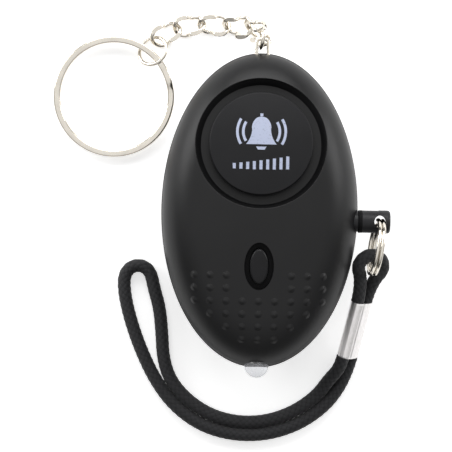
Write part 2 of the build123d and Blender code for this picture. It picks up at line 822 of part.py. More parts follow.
with BuildPart() as link_blank:
    for end in (-1, 1):
        start = (end * bow_start, bow_side, -end * bow_rise)
        finish = (end * bow_start, -bow_side, end * bow_rise)
        bow = ThreePointArc(start, (end * (bow_start + link_bow), 0, 0), finish, mode=Mode.PRIVATE)
        with BuildLine() as bow_path:
            Polyline(*curve_points(bow, bow_steps))
        lateral = (0, bow_side, -end * bow_rise)
        with BuildSketch(Plane(origin=start, x_dir=lateral, z_dir=(end, 0, 0))):
            RegularPolygon(link_wire / 2, wire_sides)
        sweep(path=bow_path.line, transition=Transition.RIGHT)
    for side in (-1, 1):
        start = (-bow_start, side * bow_side, side * bow_rise)
        finish = (bow_start, side * bow_side, -side * bow_rise)
        dip = TangentArc(start, (0, side * bow_side, 0), tangent=(1, 0, 0), mode=Mode.PRIVATE)
        climb = TangentArc(dip @ 1, finish, tangent=dip % 1, mode=Mode.PRIVATE)
        points = curve_points(dip, strand_steps) + curve_points(climb, strand_steps)[1:]
        with BuildLine() as strand_path:
            Polyline(*points)
        with BuildSketch(Plane(origin=start, x_dir=(0, 1, 0), z_dir=(1, 0, 0))):
            RegularPolygon(link_wire / 2, wire_sides)
        sweep(path=strand_path.line, transition=Transition.RIGHT)
    split(bisect_by=Plane.XY.offset(link_thickness / 2), keep=Keep.BOTTOM)
    split(bisect_by=Plane.XY.offset(-link_thickness / 2), keep=Keep.TOP)

link_pitch = link_length - 2 * link_wire - link_play


def link_plane(centre, heading, slope, roll):
    """Plane of a link: X along it, sloping down by slope, rolled about its own length."""
    turn, drop = math.radians(heading), math.radians(slope)
    way = Vector(
        math.cos(turn) * math.cos(drop), math.sin(turn) * math.cos(drop), -math.sin(drop)
    )
    level = way.cross(Vector(0, 0, 1).cross(way).normalized())
    return Plane(origin=centre, x_dir=way, z_dir=level.rotate(Axis((0, 0, 0), way), roll))


crossbar = Vector(0, bail_reach - bail_wire / 2, bail_z)
links = []
hinges = [crossbar]
for index, angles in enumerate(zip(chain_headings, chain_slopes, chain_rolls)):
    way = link_plane(crossbar, *angles).x_dir
    if index:
        centre = hinges[-1] + way * (link_pitch / 2)
    else:
        start_gap = (bail_wire + link_wire) / 2 + link_play
        centre = crossbar + way * ((link_length - link_wire) / 2 - start_gap)
    hinges.append(centre + way * (link_pitch / 2))
    with BuildPart() as link:
        with Locations(link_plane(centre, *angles)):
            add(link_blank.part)
        link.part.label = f"chain_link_{index + 1}"
    links.append(link)


def split_ring(radius, band, turn, step, start):
    """A flat wire wound twice round, with a ramp over the step angle where it climbs."""

    def section_plane(angle, level):
        swing = math.radians(angle)
        return Plane(
            origin=(radius * math.cos(swing), radius * math.sin(swing), level),
            x_dir=(math.cos(swing), math.sin(swing), 0),
            z_dir=(-math.sin(swing), math.cos(swing), 0),
        )

    with BuildPart() as ring:
        for level in (-turn / 2, turn / 2):
            with BuildSketch(section_plane(start + step, level)) as coil_section:
                Rectangle(band, turn)
                chamfer(coil_section.vertices(), ring_edge)
            revolve(axis=Axis.Z, revolution_arc=360 - step)
        for angle, level in ((start, -turn / 2), (start + step, turn / 2)):
            with BuildSketch(section_plane(angle, level)) as ramp_section:
                Rectangle(band, turn)
                chamfer(ramp_section.vertices(), ring_edge)
        loft(ruled=True)
    return ring.part


ring_turn = math.radians(ring_heading)
ring_way = Vector(math.cos(ring_turn), math.sin(ring_turn), 0)
key_rise = math.radians(key_ring_tilt)
key_ring_way = Vector(
    math.cos(ring_turn) * math.cos(key_rise),
    math.sin(ring_turn) * math.cos(key_rise),
    math.sin(key_rise),
)
key_side = Vector(-math.sin(ring_turn), math.cos(ring_turn), 0)
jump_centre = hinges[-1] + Vector(*jump_offset)
key_ring_centre = jump_centre + Vector(*key_ring_offset)
key_ring_plane = Plane(
    origin=key_ring_centre, x_dir=key_ring_way, z_dir=key_ring_way.cross(key_side)
)
with BuildPart() as key_ring:
    with Locations(key_ring_plane):
        add(
            split_ring(
                key_ring_radius, key_ring_band, key_ring_turn, key_ring_step, key_ring_start
            )
        )
    key_ring.part.label = "key_ring"

jump_side = key_side * -math.cos(math.radians(jump_tilt)) + Vector(
    0, 0, math.sin(math.radians(jump_tilt))
)
jump_plane = Plane(origin=jump_centre, x_dir=ring_way, z_dir=ring_way.cross(jump_side))
gap_share = math.degrees(jump_gap / jump_radius)
with BuildPart() as jump_ring:
    with BuildSketch(Plane.XZ):
        with Locations((jump_radius, 0)):
            RegularPolygon(jump_wire / 2, bail_sides)
    revolve(axis=Axis.Z, revolution_arc=360 - gap_share)
    jump_ring.part = jump_ring.part.moved(Location((0, 0, 0), (0, 0, jump_gap_turn)))
    jump_ring.part = jump_ring.part.moved(jump_plane.location)
    jump_ring.part.label = "jump_ring"

# Pin ring, standing through the hole in the pin and leaning a little to the right
hole_x = pin_head_end - pin_hole_inset
pin_ring_swing = math.radians(pin_ring_heading)
pin_ring_way = Vector(math.cos(pin_ring_swing), math.sin(pin_ring_swing), 0)
pin_ring_centre = along((hole_x, pin_y, pin_z), pin_ring_way, pin_ring_hold)
level_axis = pin_ring_way.cross(Vector(0, 0, 1))
pin_ring_axis = level_axis.rotate(Axis((0, 0, 0), pin_ring_way), -pin_ring_lean)
with BuildPart() as pin_ring:
    with Locations(Plane(origin=pin_ring_centre, x_dir=pin_ring_way, z_dir=pin_ring_axis)):
        add(
            split_ring(
                pin_ring_radius, pin_ring_band, pin_ring_turn, pin_ring_step, pin_ring_start
            )
        )
    pin_ring.part.label = "pin_ring"

# Wrist strap. Its own line runs from the pin ring down through the ferrule. A place on it
# is given by how far it lies before the ferrule, how far aside, and the roll of that side.
strap_turn = math.radians(ferrule_heading)
strap_drop = math.radians(ferrule_slope)
strap_way = Vector(
    math.cos(strap_turn) * math.cos(strap_drop),
    math.sin(strap_turn) * math.cos(strap_drop),
    -math.sin(strap_drop),
)
level_side = Vector(0, 0, 1).cross(strap_way).normalized()


def strap_side(roll):
    return level_side.rotate(Axis((0, 0, 0), strap_way), roll)


def strap_point(reach, aside, roll):
    return Vector(*ferrule_top) - strap_way * reach + strap_side(roll) * aside


def cord_radii(points):
    """A radius for each corner: as large as the two runs beside it allow."""
    radii = []
    for before, corner, after in zip(points, points[1:], points[2:]):
        first, second = Vector(*corner) - Vector(*before), Vector(*after) - Vector(*corner)
        half_turn = math.radians(first.get_angle(second)) / 2
        radii.append(0.45 * min(first.length, second.length) / math.tan(half_turn))
    return radii


def cord_solid(points, name):
    """A cord along straight runs joined by tangent arcs."""
    radii = cord_radii(points)
    with BuildPart() as cord:
        with BuildLine() as route:
            FilletPolyline(*points, radius=radii)
        path = route.wire()
        with BuildSketch(Plane(path @ 0, z_dir=path % 0)) as section:
            RegularPolygon(cord_diameter / 2, cord_sides)
        sweep(path=path)
    expected = section.sketch.area * path.length
    print(name, "radii", [round(radius, 2) for radius in radii])
    print(name, "length", round(path.length, 2), "volume ratio", cord.part.volume / expected)
    cord.part.label = name
    return cord.part


ferrule_bottom = along(ferrule_top, strap_way, ferrule_length)
ferrule_plane = Plane(ferrule_bottom, x_dir=strap_side(ferrule_roll), z_dir=strap_way * -1)
clamp_width = ferrule_width - 2 * ferrule_wall
clamp_thickness = ferrule_thickness - 2 * ferrule_wall
with BuildPart() as ferrule:
    with BuildSketch(ferrule_plane) as ferrule_face:
        Rectangle(ferrule_width, ferrule_thickness)
        chamfer(ferrule_face.vertices(), ferrule_chamfer)
        with BuildSketch(mode=Mode.SUBTRACT) as clamp_face:
            Rectangle(clamp_width, clamp_thickness)
            chamfer(clamp_face.vertices(), ferrule_chamfer - ferrule_wall / 2)
        with Locations((-ferrule_width / 2, 0)):
            Rectangle(2 * ferrule_wall, ferrule_seam, mode=Mode.SUBTRACT)
    extrude(amount=ferrule_length)
    ferrule.part.label = "ferrule"

with BuildPart() as clamped_cord:
    with BuildSketch(ferrule_plane) as core_face:
        Rectangle(clamp_width - 2 * core_play, clamp_thickness - 2 * core_play)
        chamfer(core_face.vertices(), ferrule_chamfer - ferrule_wall / 2)
    extrude(amount=ferrule_length)
    clamped_cord.part.label = "clamped_cord"

# The loop is a half circle in four corners, between two strands that come out of the clamp
loop_corner = loop_radius * math.tan(math.pi / 8)
half_loop = [
    (loop_start, loop_radius),
    (loop_reach + loop_corner, loop_radius),
    (loop_reach + loop_radius, loop_corner),
]
loop_points = [
    tuple(strap_point(0, -cord_pair / 2, ferrule_roll)),
    tuple(strap_point(loop_exit, -cord_pair / 2, ferrule_roll)),
    *[tuple(strap_point(reach, -aside, loop_roll)) for reach, aside in half_loop],
    *[tuple(strap_point(reach, aside, loop_roll)) for reach, aside in reversed(half_loop)],
    tuple(strap_point(loop_exit, cord_pair / 2, ferrule_roll)),
    tuple(strap_point(0, cord_pair / 2, ferrule_roll)),
]
ring_loop = cord_solid(loop_points, "ring_loop")

outer_exit = strap_point(-ferrule_length, cord_pair / 2, ferrule_roll)
inner_exit = strap_point(-ferrule_length, -cord_pair / 2, ferrule_roll)
route_points = [
    tuple(outer_exit),
    tuple(outer_exit + strap_way * strand_exit),
    *[(x, y, cord_rest) for x, y in outer_strand + strap_fold + inner_strand],
    strand_lift,
    tuple(inner_exit + strap_way * strand_exit),
    tuple(inner_exit),
]
wrist_cord = cord_solid(route_points, "wrist_cord")

named_parts = [
    front_shell, rear_shell, speaker_cap, sounder_plate, sounder_ceramic, led_button,
    circuit_board, switch_body, switch_plunger, driver_chip, coil_core, coil_winding, cell_tray,
    *cells, lower_contact, upper_contact, lamp_lens, lamp_leads, case_screws, pull_pin,
    pin_shaft, pin_sleeve, contact_springs, chain_bail, *links, jump_ring, key_ring, pin_ring,
    ferrule, clamped_cord,
]
solids = [builder.part for builder in named_parts] + [ring_loop, wrist_cord]
for solid in solids:
    export_step(solid, f"parts/{solid.label}.step")
for place, hinge in enumerate([*hinges, jump_centre, key_ring_centre, pin_ring_centre]):
    print("hinge", place, tuple(round(value, 3) for value in hinge))
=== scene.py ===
# Personal safety alarm: materials, wire work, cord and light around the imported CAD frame
import math

import bmesh
import bpy
import numpy as np
from mathutils import Matrix, Vector


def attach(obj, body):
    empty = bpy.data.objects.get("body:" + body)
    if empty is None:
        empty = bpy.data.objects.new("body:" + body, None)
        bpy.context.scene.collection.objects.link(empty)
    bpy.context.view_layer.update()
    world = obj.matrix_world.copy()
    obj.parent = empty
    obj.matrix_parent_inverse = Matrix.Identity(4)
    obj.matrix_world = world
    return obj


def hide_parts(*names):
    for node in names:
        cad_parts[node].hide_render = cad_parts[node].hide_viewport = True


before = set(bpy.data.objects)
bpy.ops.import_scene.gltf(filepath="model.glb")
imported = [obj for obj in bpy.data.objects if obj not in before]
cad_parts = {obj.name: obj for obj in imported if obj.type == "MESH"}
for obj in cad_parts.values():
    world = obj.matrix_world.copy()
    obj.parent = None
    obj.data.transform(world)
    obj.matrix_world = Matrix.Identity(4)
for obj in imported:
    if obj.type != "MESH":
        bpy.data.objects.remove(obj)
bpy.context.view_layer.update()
mm = 0.001


# Colour and node helpers

def linear(hexColour):  # sRGB hex to linear RGBA
    channels = [int(hexColour[i:i + 2], 16) / 255 for i in (1, 3, 5)]
    return [c / 12.92 if c <= 0.04045 else ((c + 0.055) / 1.055) ** 2.4 for c in channels] + [1.0]


def addNode(tree, kind, settings=None, links=None):  # a node, its settings and what feeds it
    node = tree.nodes.new(kind)
    for key, value in (settings or {}).items():
        if key == "stops":  # a colour ramp's places, each with its hex colour
            elements = node.color_ramp.elements
            for place, colour in value[2:]:
                elements.new(place)
            for element, (place, colour) in zip(elements, value):
                element.position, element.color = place, linear(colour)
        elif isinstance(key, int) or key in node.inputs:
            node.inputs[key].default_value = value
        else:
            setattr(node, key, value)
    for key, source in (links or {}).items():
        tree.links.new(source, node.inputs[key])
    return node


def perMm(size):  # texture scale for a feature of that many millimetres
    return 1 / (size * mm)


def newMaterial(name, settings):  # a material with its shader joined, and its coordinates
    material = bpy.data.materials.new(name)
    material.use_nodes = True
    tree = material.node_tree
    tree.nodes.clear()
    shader = addNode(tree, "ShaderNodeBsdfPrincipled", settings)
    addNode(tree, "ShaderNodeOutputMaterial", links={"Surface": shader.outputs["BSDF"]})
    coords = addNode(tree, "ShaderNodeTexCoord").outputs["Object"]
    return material, tree, shader, coords


def dressSurface(tree, shader, settings, tone, places, wear, grain=None, depthMm=0.01):
    # colour follows the tone pattern, roughness the wear pattern and relief the grain
    stops = list(zip(places, settings["colours"]))
    colour = addNode(tree, "ShaderNodeValToRGB", {"stops": stops}, {"Fac": tone})
    low, high = settings["roughness"]
    rough = addNode(tree, "ShaderNodeMapRange", {"To Min": low, "To Max": high}, {"Value": wear})
    tree.links.new(colour.outputs["Color"], shader.inputs["Base Color"])
    tree.links.new(rough.outputs["Result"], shader.inputs["Roughness"])
    if grain is not None:
        bump = addNode(tree, "ShaderNodeBump", {"Strength": settings["bump"],
                       "Distance": depthMm * mm}, {"Height": grain})
        tree.links.new(bump.outputs["Normal"], shader.inputs["Normal"])


# Materials

def mouldedAbs(name, settings):
    # Injection-moulded ABS from a spark-eroded tool: a soft broad sheen over a very fine grain,
    # which is drawn a few times coarser than its real 0.05 mm so that it shows
    material, tree, shader, coords = newMaterial(name, {"IOR": 1.53,
                                                 "Specular IOR Level": settings.get("shine", 0.5)})
    grain = addNode(tree, "ShaderNodeTexNoise", {"Scale": perMm(settings["grainMm"]),
                    "Detail": 3.0, "Roughness": 0.6}, {"Vector": coords})
    flow = addNode(tree, "ShaderNodeTexNoise", {"Scale": perMm(settings["flowMm"]), "Detail": 2.0},
                   {"Vector": coords}).outputs["Fac"]
    dressSurface(tree, shader, settings, flow, (0.35, 0.65), flow, grain.outputs["Fac"], 0.02)
    return material


def platedSteel(name, settings):
    # Bright nickel over steel wire: mirror-like, faintly warm, with drawing marks and handling haze
    material, tree, shader, coords = newMaterial(name, {"Metallic": 1.0})
    haze = addNode(tree, "ShaderNodeTexNoise", {"Scale": perMm(settings["hazeMm"]), "Detail": 4.0},
                   {"Vector": coords}).outputs["Fac"]
    marks = addNode(tree, "ShaderNodeTexNoise", {"Scale": perMm(settings["markMm"]), "Detail": 2.0},
                    {"Vector": coords})
    dressSurface(tree, shader, settings, haze, (0.3, 0.7), haze, marks.outputs["Fac"])
    return material


def rolledAluminium(name, settings):
    # Rolled aluminium strip folded round the cord: satin, with fine lines along the strip
    material, tree, shader, coords = newMaterial(name, {"Metallic": 1.0})
    stretched = addNode(tree, "ShaderNodeMapping", {"Scale": (1.0, 0.06, 1.0)}, {"Vector": coords})
    lines = addNode(tree, "ShaderNodeTexNoise", {"Scale": perMm(settings["lineMm"]), "Detail": 3.0},
                    {"Vector": stretched.outputs["Vector"]}).outputs["Fac"]
    dressSurface(tree, shader, settings, lines, (0.35, 0.65), lines, lines)
    return material


def braidedPolyester(name, settings):
    # Braided black polyester: matt yarn with a random tone, painted grey on the crowns as sheen and
    # dark between strands as shade. The yarn's filaments are far finer than the 0.12 mm at which
    # they are drawn so that they show.
    material, tree, shader, coords = newMaterial(name, {"IOR": 1.5, "Specular IOR Level": 0.3,
                                                 "Sheen Weight": settings["sheen"],
                                                 "Sheen Roughness": 0.45})
    relief = addNode(tree, "ShaderNodeAttribute", {"attribute_name": "relief"})
    yarn = addNode(tree, "ShaderNodeTexNoise", {"Scale": perMm(settings["yarnMm"]), "Detail": 4.0},
                   {"Vector": coords}).outputs["Fac"]
    # colour follows the braid's height: crowns painted lighter as sheen, hollows painted darker as
    # shade, over the yarn's random tone
    crownSheenAndShade = addNode(tree, "ShaderNodeMath", {"operation": "MULTIPLY_ADD", 1: 0.35},
                     {0: yarn, 2: relief.outputs["Fac"]})
    dressSurface(tree, shader, settings, crownSheenAndShade.outputs["Value"], (0.25, 1.0), yarn, yarn, 0.05)
    return material


def castEpoxy(name, settings):
    # Cast epoxy of the lamp: clear, with faint flow marks. Its real index is about 1.5 and it
    # passes all light; both are lowered so that the dome is as pale over the floor as photographed.
    material, tree, shader, coords = newMaterial(name, {"IOR": 1.12, "Transmission Weight": 0.8,
                                                 "Base Color": linear(settings["tint"])})
    flow = addNode(tree, "ShaderNodeTexNoise", {"Scale": perMm(settings["flowMm"]), "Detail": 1.0},
                   {"Vector": coords}).outputs["Fac"]
    low, high = settings["roughness"]
    rough = addNode(tree, "ShaderNodeMapRange", {"To Min": low, "To Max": high}, {"Value": flow})
    bump = addNode(tree, "ShaderNodeBump", {"Strength": settings["bump"], "Distance": 0.02 * mm},
                   {"Height": flow})
    tree.links.new(rough.outputs["Result"], shader.inputs["Roughness"])
    tree.links.new(bump.outputs["Normal"], shader.inputs["Normal"])
    return material


def padInk(name, settings):
    # Pad-printed ink, one pale blue-grey coat: flat, a little thin where the pad lifted
    material, tree, shader, coords = newMaterial(name, {"IOR": 1.48})
    thin = addNode(tree, "ShaderNodeTexNoise", {"Scale": perMm(settings["speckMm"]), "Detail": 3.0},
                   {"Vector": coords}).outputs["Fac"]
    dressSurface(tree, shader, settings, thin, (0.28, 0.42), thin)
    return material


def maskedBoard(name, settings):
    # Glass-epoxy board under green solder mask: glossy, copper tracks just showing through
    material, tree, shader, coords = newMaterial(name, {"IOR": 1.5})
    first, second = settings["colours"]
    tracks = addNode(tree, "ShaderNodeTexBrick", {"Scale": perMm(settings["trackMm"]),
                     "Mortar Size": 0.03, "Color1": linear(first), "Color2": linear(second),
                     "Mortar": linear(settings["track"])}, {"Vector": coords})
    low, high = settings["roughness"]
    rough = addNode(tree, "ShaderNodeMapRange", {"To Min": low, "To Max": high},
                    {"Value": tracks.outputs["Fac"]})
    tree.links.new(tracks.outputs["Color"], shader.inputs["Base Color"])
    tree.links.new(rough.outputs["Result"], shader.inputs["Roughness"])
    return material


absShell = mouldedAbs("mouldedBlackAbs", {"colours": ("#131314", "#171718"), "grainMm": 0.22,
                      "flowMm": 14.0, "roughness": (0.36, 0.42), "bump": 0.22, "shine": 0.25})
absCap = mouldedAbs("mouldedSatinAbsCap", {"colours": ("#151517", "#19191B"), "grainMm": 0.18,
                    "flowMm": 9.0, "roughness": (0.42, 0.48), "bump": 0.12, "shine": 0.18})
absSmall = mouldedAbs("mouldedGlossAbs", {"colours": ("#131314", "#161618"), "grainMm": 0.3,
                      "flowMm": 5.0, "roughness": (0.34, 0.4), "bump": 0.08, "shine": 0.18})
# a darker, matter copy of the black ABS: painted shade on the walls of the moat, the button's hole
# and the pin's hole, and on the pin's collar
absShadeMatt = mouldedAbs("paintedShadeMattAbs", {"colours": ("#101011", "#141415"), "grainMm": 0.2,
                     "flowMm": 5.0, "roughness": (0.55, 0.65), "bump": 0.2, "shine": 0.08})
absPin = mouldedAbs("mouldedBlackPinAbs", {"colours": ("#1C1C1E", "#202022"), "grainMm": 0.2,
                    "flowMm": 4.0, "roughness": (0.4, 0.48), "bump": 0.15, "shine": 0.25})
absTray = mouldedAbs("mouldedNaturalAbs", {"colours": ("#B9B6AC", "#C4C1B7"), "grainMm": 0.3,
                     "flowMm": 8.0, "roughness": (0.4, 0.5), "bump": 0.1})
epoxyChip = mouldedAbs("mouldedBlackEpoxy", {"colours": ("#19191A", "#1E1E1F"), "grainMm": 0.12,
                       "flowMm": 3.0, "roughness": (0.5, 0.6), "bump": 0.3})
nickel = platedSteel("brightNickelPlate", {"colours": ("#D6D0C5", "#E3DDD2"), "hazeMm": 3.0,
                     "markMm": 0.15, "roughness": (0.08, 0.16), "bump": 0.05})
steelShaft = platedSteel("groundSteel", {"colours": ("#A9A8A6", "#BDBCB9"), "hazeMm": 2.0,
                         "markMm": 0.1, "roughness": (0.2, 0.32), "bump": 0.15})
cellCase = platedSteel("pressedNickelSteel", {"colours": ("#A8A8A8", "#BDBCB8"), "hazeMm": 4.0,
                       "markMm": 0.2, "roughness": (0.22, 0.36), "bump": 0.1})
brass = platedSteel("rolledBrass", {"colours": ("#B08B45", "#C6A05A"), "hazeMm": 4.0,
                    "markMm": 0.12, "roughness": (0.25, 0.4), "bump": 0.12})
copper = platedSteel("enamelledCopper", {"colours": ("#A4562E", "#BE6E42"), "hazeMm": 0.6,
                     "markMm": 0.15, "roughness": (0.25, 0.38), "bump": 0.4})
ceramic = mouldedAbs("firedCeramic", {"colours": ("#CFCBBE", "#DAD6C9"), "grainMm": 0.2,
                     "flowMm": 3.0, "roughness": (0.35, 0.45), "bump": 0.1})
aluminium = rolledAluminium("rolledAluminium", {"colours": ("#EAE8E6", "#FAF7F7"), "lineMm": 0.25,
                            "roughness": (0.36, 0.48), "bump": 0.1})
# the darker colour paints shade between the strands and the lighter one a sheen on the crowns
polyester = braidedPolyester("braidedBlackPolyester", {"colours": ("#09090A", "#2A2A2C"),
                             "yarnMm": 0.12, "sheen": 0.16, "roughness": (0.62, 0.85), "bump": 0.5})
epoxyClear = castEpoxy("castClearEpoxy", {"tint": "#FBFCFF", "flowMm": 2.0,
                       "roughness": (0.02, 0.07), "bump": 0.1})
ink = padInk("padPrintedInk", {"colours": ("#929AB2", "#BAC2DA"), "speckMm": 0.35,
             "roughness": (0.45, 0.6)})
board = maskedBoard("maskedGlassEpoxy", {"colours": ("#14532D", "#17603A"), "track": "#2C7A4B",
                    "trackMm": 6.0, "roughness": (0.25, 0.4)})
print("materials made")


# Mesh helpers. Points are in millimetres until newObject turns them to metres.

def newObject(name, points, faces, material):
    mesh = bpy.data.meshes.new(name)
    mesh.from_pydata([tuple(p) for p in np.asarray(points) * mm], [], [tuple(f) for f in faces])
    mesh.materials.append(material)
    made = bpy.data.objects.new(name, mesh)
    bpy.context.scene.collection.objects.link(made)
    return made


def addPiece(name, points, faces, material, body, replaced=(), smoothAngle=35, closed=True):
    piece = newObject(name, points, faces, material)
    if closed:
        fixNormals(piece)
    shadeByAngle(piece, smoothAngle)
    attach(piece, body)
    if replaced:
        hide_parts(*replaced)
    return piece


def fixNormals(piece):  # all faces turned outwards
    work = bmesh.new()
    work.from_mesh(piece.data)
    bmesh.ops.recalc_face_normals(work, faces=work.faces)
    work.to_mesh(piece.data)
    work.free()


def shadeByAngle(piece, degrees):  # smooth except over edges sharper than that
    mesh = piece.data
    mesh.shade_smooth()
    mesh.set_sharp_from_angle(angle=math.radians(degrees))


def gridFaces(rows, columns, wrapRows=False, wrapColumns=True):
    faces = []
    for row in range(rows if wrapRows else rows - 1):
        for column in range(columns if wrapColumns else columns - 1):
            nextRow, nextColumn = (row + 1) % rows, (column + 1) % columns
            faces.append((row * columns + column, row * columns + nextColumn,
                          nextRow * columns + nextColumn, nextRow * columns + column))
    return faces


def capFaces(rows, columns):  # two flat ends of a tube of rings
    first = tuple(range(columns))[::-1]
    last = tuple((rows - 1) * columns + column for column in range(columns))
    return [first, last]


def revolved(profile, segments, place):  # profile of (radius, height), turned about the place's Z
    points = []
    for radius, height in profile:
        for step in range(segments):
            angle = 2 * math.pi * step / segments
            spoke = Vector((radius * math.cos(angle), radius * math.sin(angle), height))
            points.append(place @ spoke)
    return points, gridFaces(len(profile), segments) + capFaces(len(profile), segments)


def basis(origin, xWay, zWay):  # matrix of a place from its origin, X and Z
    z = Vector(zWay).normalized()
    y = z.cross(Vector(xWay)).normalized()
    return Matrix.Translation(Vector(origin)) @ Matrix((y.cross(z), y, z)).transposed().to_4x4()


def arcPoints(centre, radius, start, end, steps):  # an arc in a profile, angles in degrees
    angles = np.radians(np.linspace(start, end, steps))
    return [(centre[0] + radius * math.cos(a), centre[1] + radius * math.sin(a)) for a in angles]


def cutAway(piece, cutter):  # the cutter goes, and leaves its material on the cut faces, which carries painted shade into the moat and holes
    modifier = piece.modifiers.new("cut", "BOOLEAN")
    modifier.operation = "DIFFERENCE"
    modifier.solver = "EXACT"
    modifier.material_mode = "TRANSFER"
    modifier.object = cutter
    evaluated = piece.evaluated_get(bpy.context.evaluated_depsgraph_get())
    mesh = bpy.data.meshes.new_from_object(evaluated)
    piece.modifiers.clear()
    piece.data = mesh
    bpy.data.objects.remove(cutter, do_unlink=True)


def newCutter(name, points, faces, material):  # a closed solid to cut with
    cutter = newObject(name, points, faces, material)
    fixNormals(cutter)
    return cutter


# Casing: two moulded halves, the front one with the sound recess and the button's moat

casing = {"length": 65.0, "width": 40.6, "height": 22.0, "widest": 11.0, "seam": 12.496,
          "frontShoulder": 9.504, "rearShoulder": 8.008, "flat": 9.013, "flatTrim": 0.04,
          "wall": 1.6, "groove": 0.35, "grooveDepth": 0.55, "edge": 0.12, "rays": 360,
          "outerRings": 90, "innerRings": 24, "sharpAngle": 32}
recess = {"y": 13.715, "tilt": 6.0, "radius": 13.357, "depth": 3.608, "foot": 1.082, "rim": 0.15,
          "rimRun": 1.6, "floor": 1.4}
halfWidth, halfLength = casing["width"] / 2, casing["length"] / 2
frontRun = halfWidth - casing["frontShoulder"]


def frontHeight(x, y, inset=0.0):  # height of the front surface over a place in plan
    reach = np.hypot(x, np.asarray(y) * (halfWidth - inset) / (halfLength - inset))
    shoulder, run = casing["frontShoulder"] - inset, frontRun
    rise = casing["height"] - inset - casing["widest"]
    crown = (run ** 2 + rise ** 2 - shoulder ** 2) / (2 * (rise - shoulder))
    knee = run * crown / (crown - shoulder)
    dome = casing["height"] - inset - crown + np.sqrt(np.maximum(crown ** 2 - reach ** 2, 0))
    side = casing["widest"] + np.sqrt(np.maximum(shoulder ** 2 - (reach - run) ** 2, 0))
    return np.where(reach <= knee, dome, side)


def seamReach(inset, height):  # half width of a surface at that height above the widest line
    shoulder = casing["frontShoulder"] - inset
    return frontRun + math.sqrt(shoulder ** 2 - (height - casing["widest"]) ** 2)


recessTilt = math.radians(recess["tilt"])
capNormal = Vector((0, math.sin(recessTilt), math.cos(recessTilt)))
capPlace = basis((0, recess["y"], float(frontHeight(0, recess["y"]))), (1, 0, 0), capNormal)


def liftToSurface(radius, angle, inset=0.0):  # how far along the recess axis the front surface lies
    base = capPlace @ Vector((radius * math.cos(angle), radius * math.sin(angle), 0))
    lift = 0.0
    for _ in range(12):
        point = base + capNormal * lift
        lift += (float(frontHeight(point.x, point.y, inset)) - point.z) / capNormal.z
    return lift


def rayRings(angle, inset, start, seamHeight, count):
    # from the recess out to the seam along one ray, evenly spaced over the surface
    corner = capPlace @ Vector((start * math.cos(angle), start * math.sin(angle), 0))
    corner = corner + capNormal * liftToSurface(start, angle, inset)
    reach = seamReach(inset, seamHeight)
    along = reach * (halfLength - inset) / (halfWidth - inset)
    way = (corner.x, (corner.y - recess["y"]))
    size = math.hypot(*way)
    way = (way[0] / size, way[1] / size)
    a = (way[0] / reach) ** 2 + (way[1] / along) ** 2
    b = 2 * (corner.x * way[0] / reach ** 2 + corner.y * way[1] / along ** 2)
    c = (corner.x / reach) ** 2 + (corner.y / along) ** 2 - 1
    distance = (-b + math.sqrt(b * b - 4 * a * c)) / (2 * a)
    share = np.sin(np.linspace(0, math.pi / 2, 400))
    x, y = corner.x + way[0] * distance * share, corner.y + way[1] * distance * share
    z = frontHeight(x, y, inset)
    z[-1] = seamHeight
    track = np.stack([x, y, z], 1)
    run = np.concatenate([[0], np.cumsum(np.linalg.norm(np.diff(track, axis=0), axis=1))])
    even = np.linspace(0, run[-1], count)
    return np.stack([np.interp(even, run, track[:, axis]) for axis in range(3)], 1)


def frontShellRings():
    lip = casing["seam"] + casing["groove"]
    wall, rays = casing["wall"], casing["rays"]
    rows = []
    for step in range(rays):
        angle = 2 * math.pi * step / rays
        flat = Vector((math.cos(angle), math.sin(angle), 0))
        column = []

        def atRecess(radius, height):
            column.append(tuple(capPlace @ (flat * radius + Vector((0, 0, height)))))

        depth, radius, foot, rim = (recess[key] for key in ("depth", "radius", "foot", "rim"))
        for share in (0.02, 0.3, 0.6, 0.8, 0.92, 1.0):
            atRecess((radius - foot) * share, -depth)
        for share in (0.33, 0.67, 1.0):  # straight slope at the foot of the wall
            atRecess(radius - foot * (1 - share), -depth + foot * share)
        edge = liftToSurface(radius, angle) - rim
        for share in (0.35, 0.7, 1.0):
            atRecess(radius, -depth + foot + (edge + depth - foot) * share)
        for turn in np.radians(np.linspace(15, 90, 6)):
            reach = radius + rim * (1 - math.cos(turn))
            atRecess(reach, liftToSurface(reach, angle) - rim * (1 - math.sin(turn)))
        column.extend(map(tuple, rayRings(angle, 0, radius + rim * recess["rimRun"],
                                          lip + casing["edge"], casing["outerRings"])))
        outer = column[-1]
        inward = np.array([outer[0], outer[1], 0.0])
        inward = inward / np.linalg.norm(inward)
        lipEdge = np.array([outer[0], outer[1], lip]) - inward * casing["edge"]
        groove = lipEdge - inward * casing["grooveDepth"]
        column += [tuple(lipEdge), tuple(groove), (groove[0], groove[1], casing["seam"])]
        inner = rayRings(angle, wall, radius + wall, casing["seam"], casing["innerRings"])[::-1]
        column.extend(map(tuple, inner))
        for height in (-depth - recess["floor"] * 0.5, -depth - recess["floor"]):
            atRecess(radius + wall, height)
        atRecess((radius + wall) * 0.5, -depth - recess["floor"])
        atRecess((radius + wall) * 0.02, -depth - recess["floor"])
        rows.append(column)
    return np.transpose(np.array(rows), (1, 0, 2))


button = {"y": -11.4075, "width": 3.8, "length": 7.2, "proud": 0.4, "round": 0.5, "crown": 0.1,
          "flange": 0.8, "flangeSpan": (-3.4, -2.8), "neck": -2.7, "moatWidth": 5.9,
          "moatLength": 9.6, "moatDepth": 1.001, "moatEdge": 0.22, "moatTop": 3.0, "gap": 0.12,
          "holeSpan": (-6.0, 2.0), "sides": 96}
halfMoat = button["moatLength"] / 2
moatEnds = [float(frontHeight(0, button["y"] + side * halfMoat)) for side in (1, -1)]
buttonRise = moatEnds[0] - moatEnds[1]
buttonSlope = math.atan2(buttonRise, 2 * halfMoat)
moatPlace = basis((0, button["y"], float(frontHeight(0, button["y"]))), (1, 0, 0),
                  (0, -math.sin(buttonSlope), math.cos(buttonSlope)))


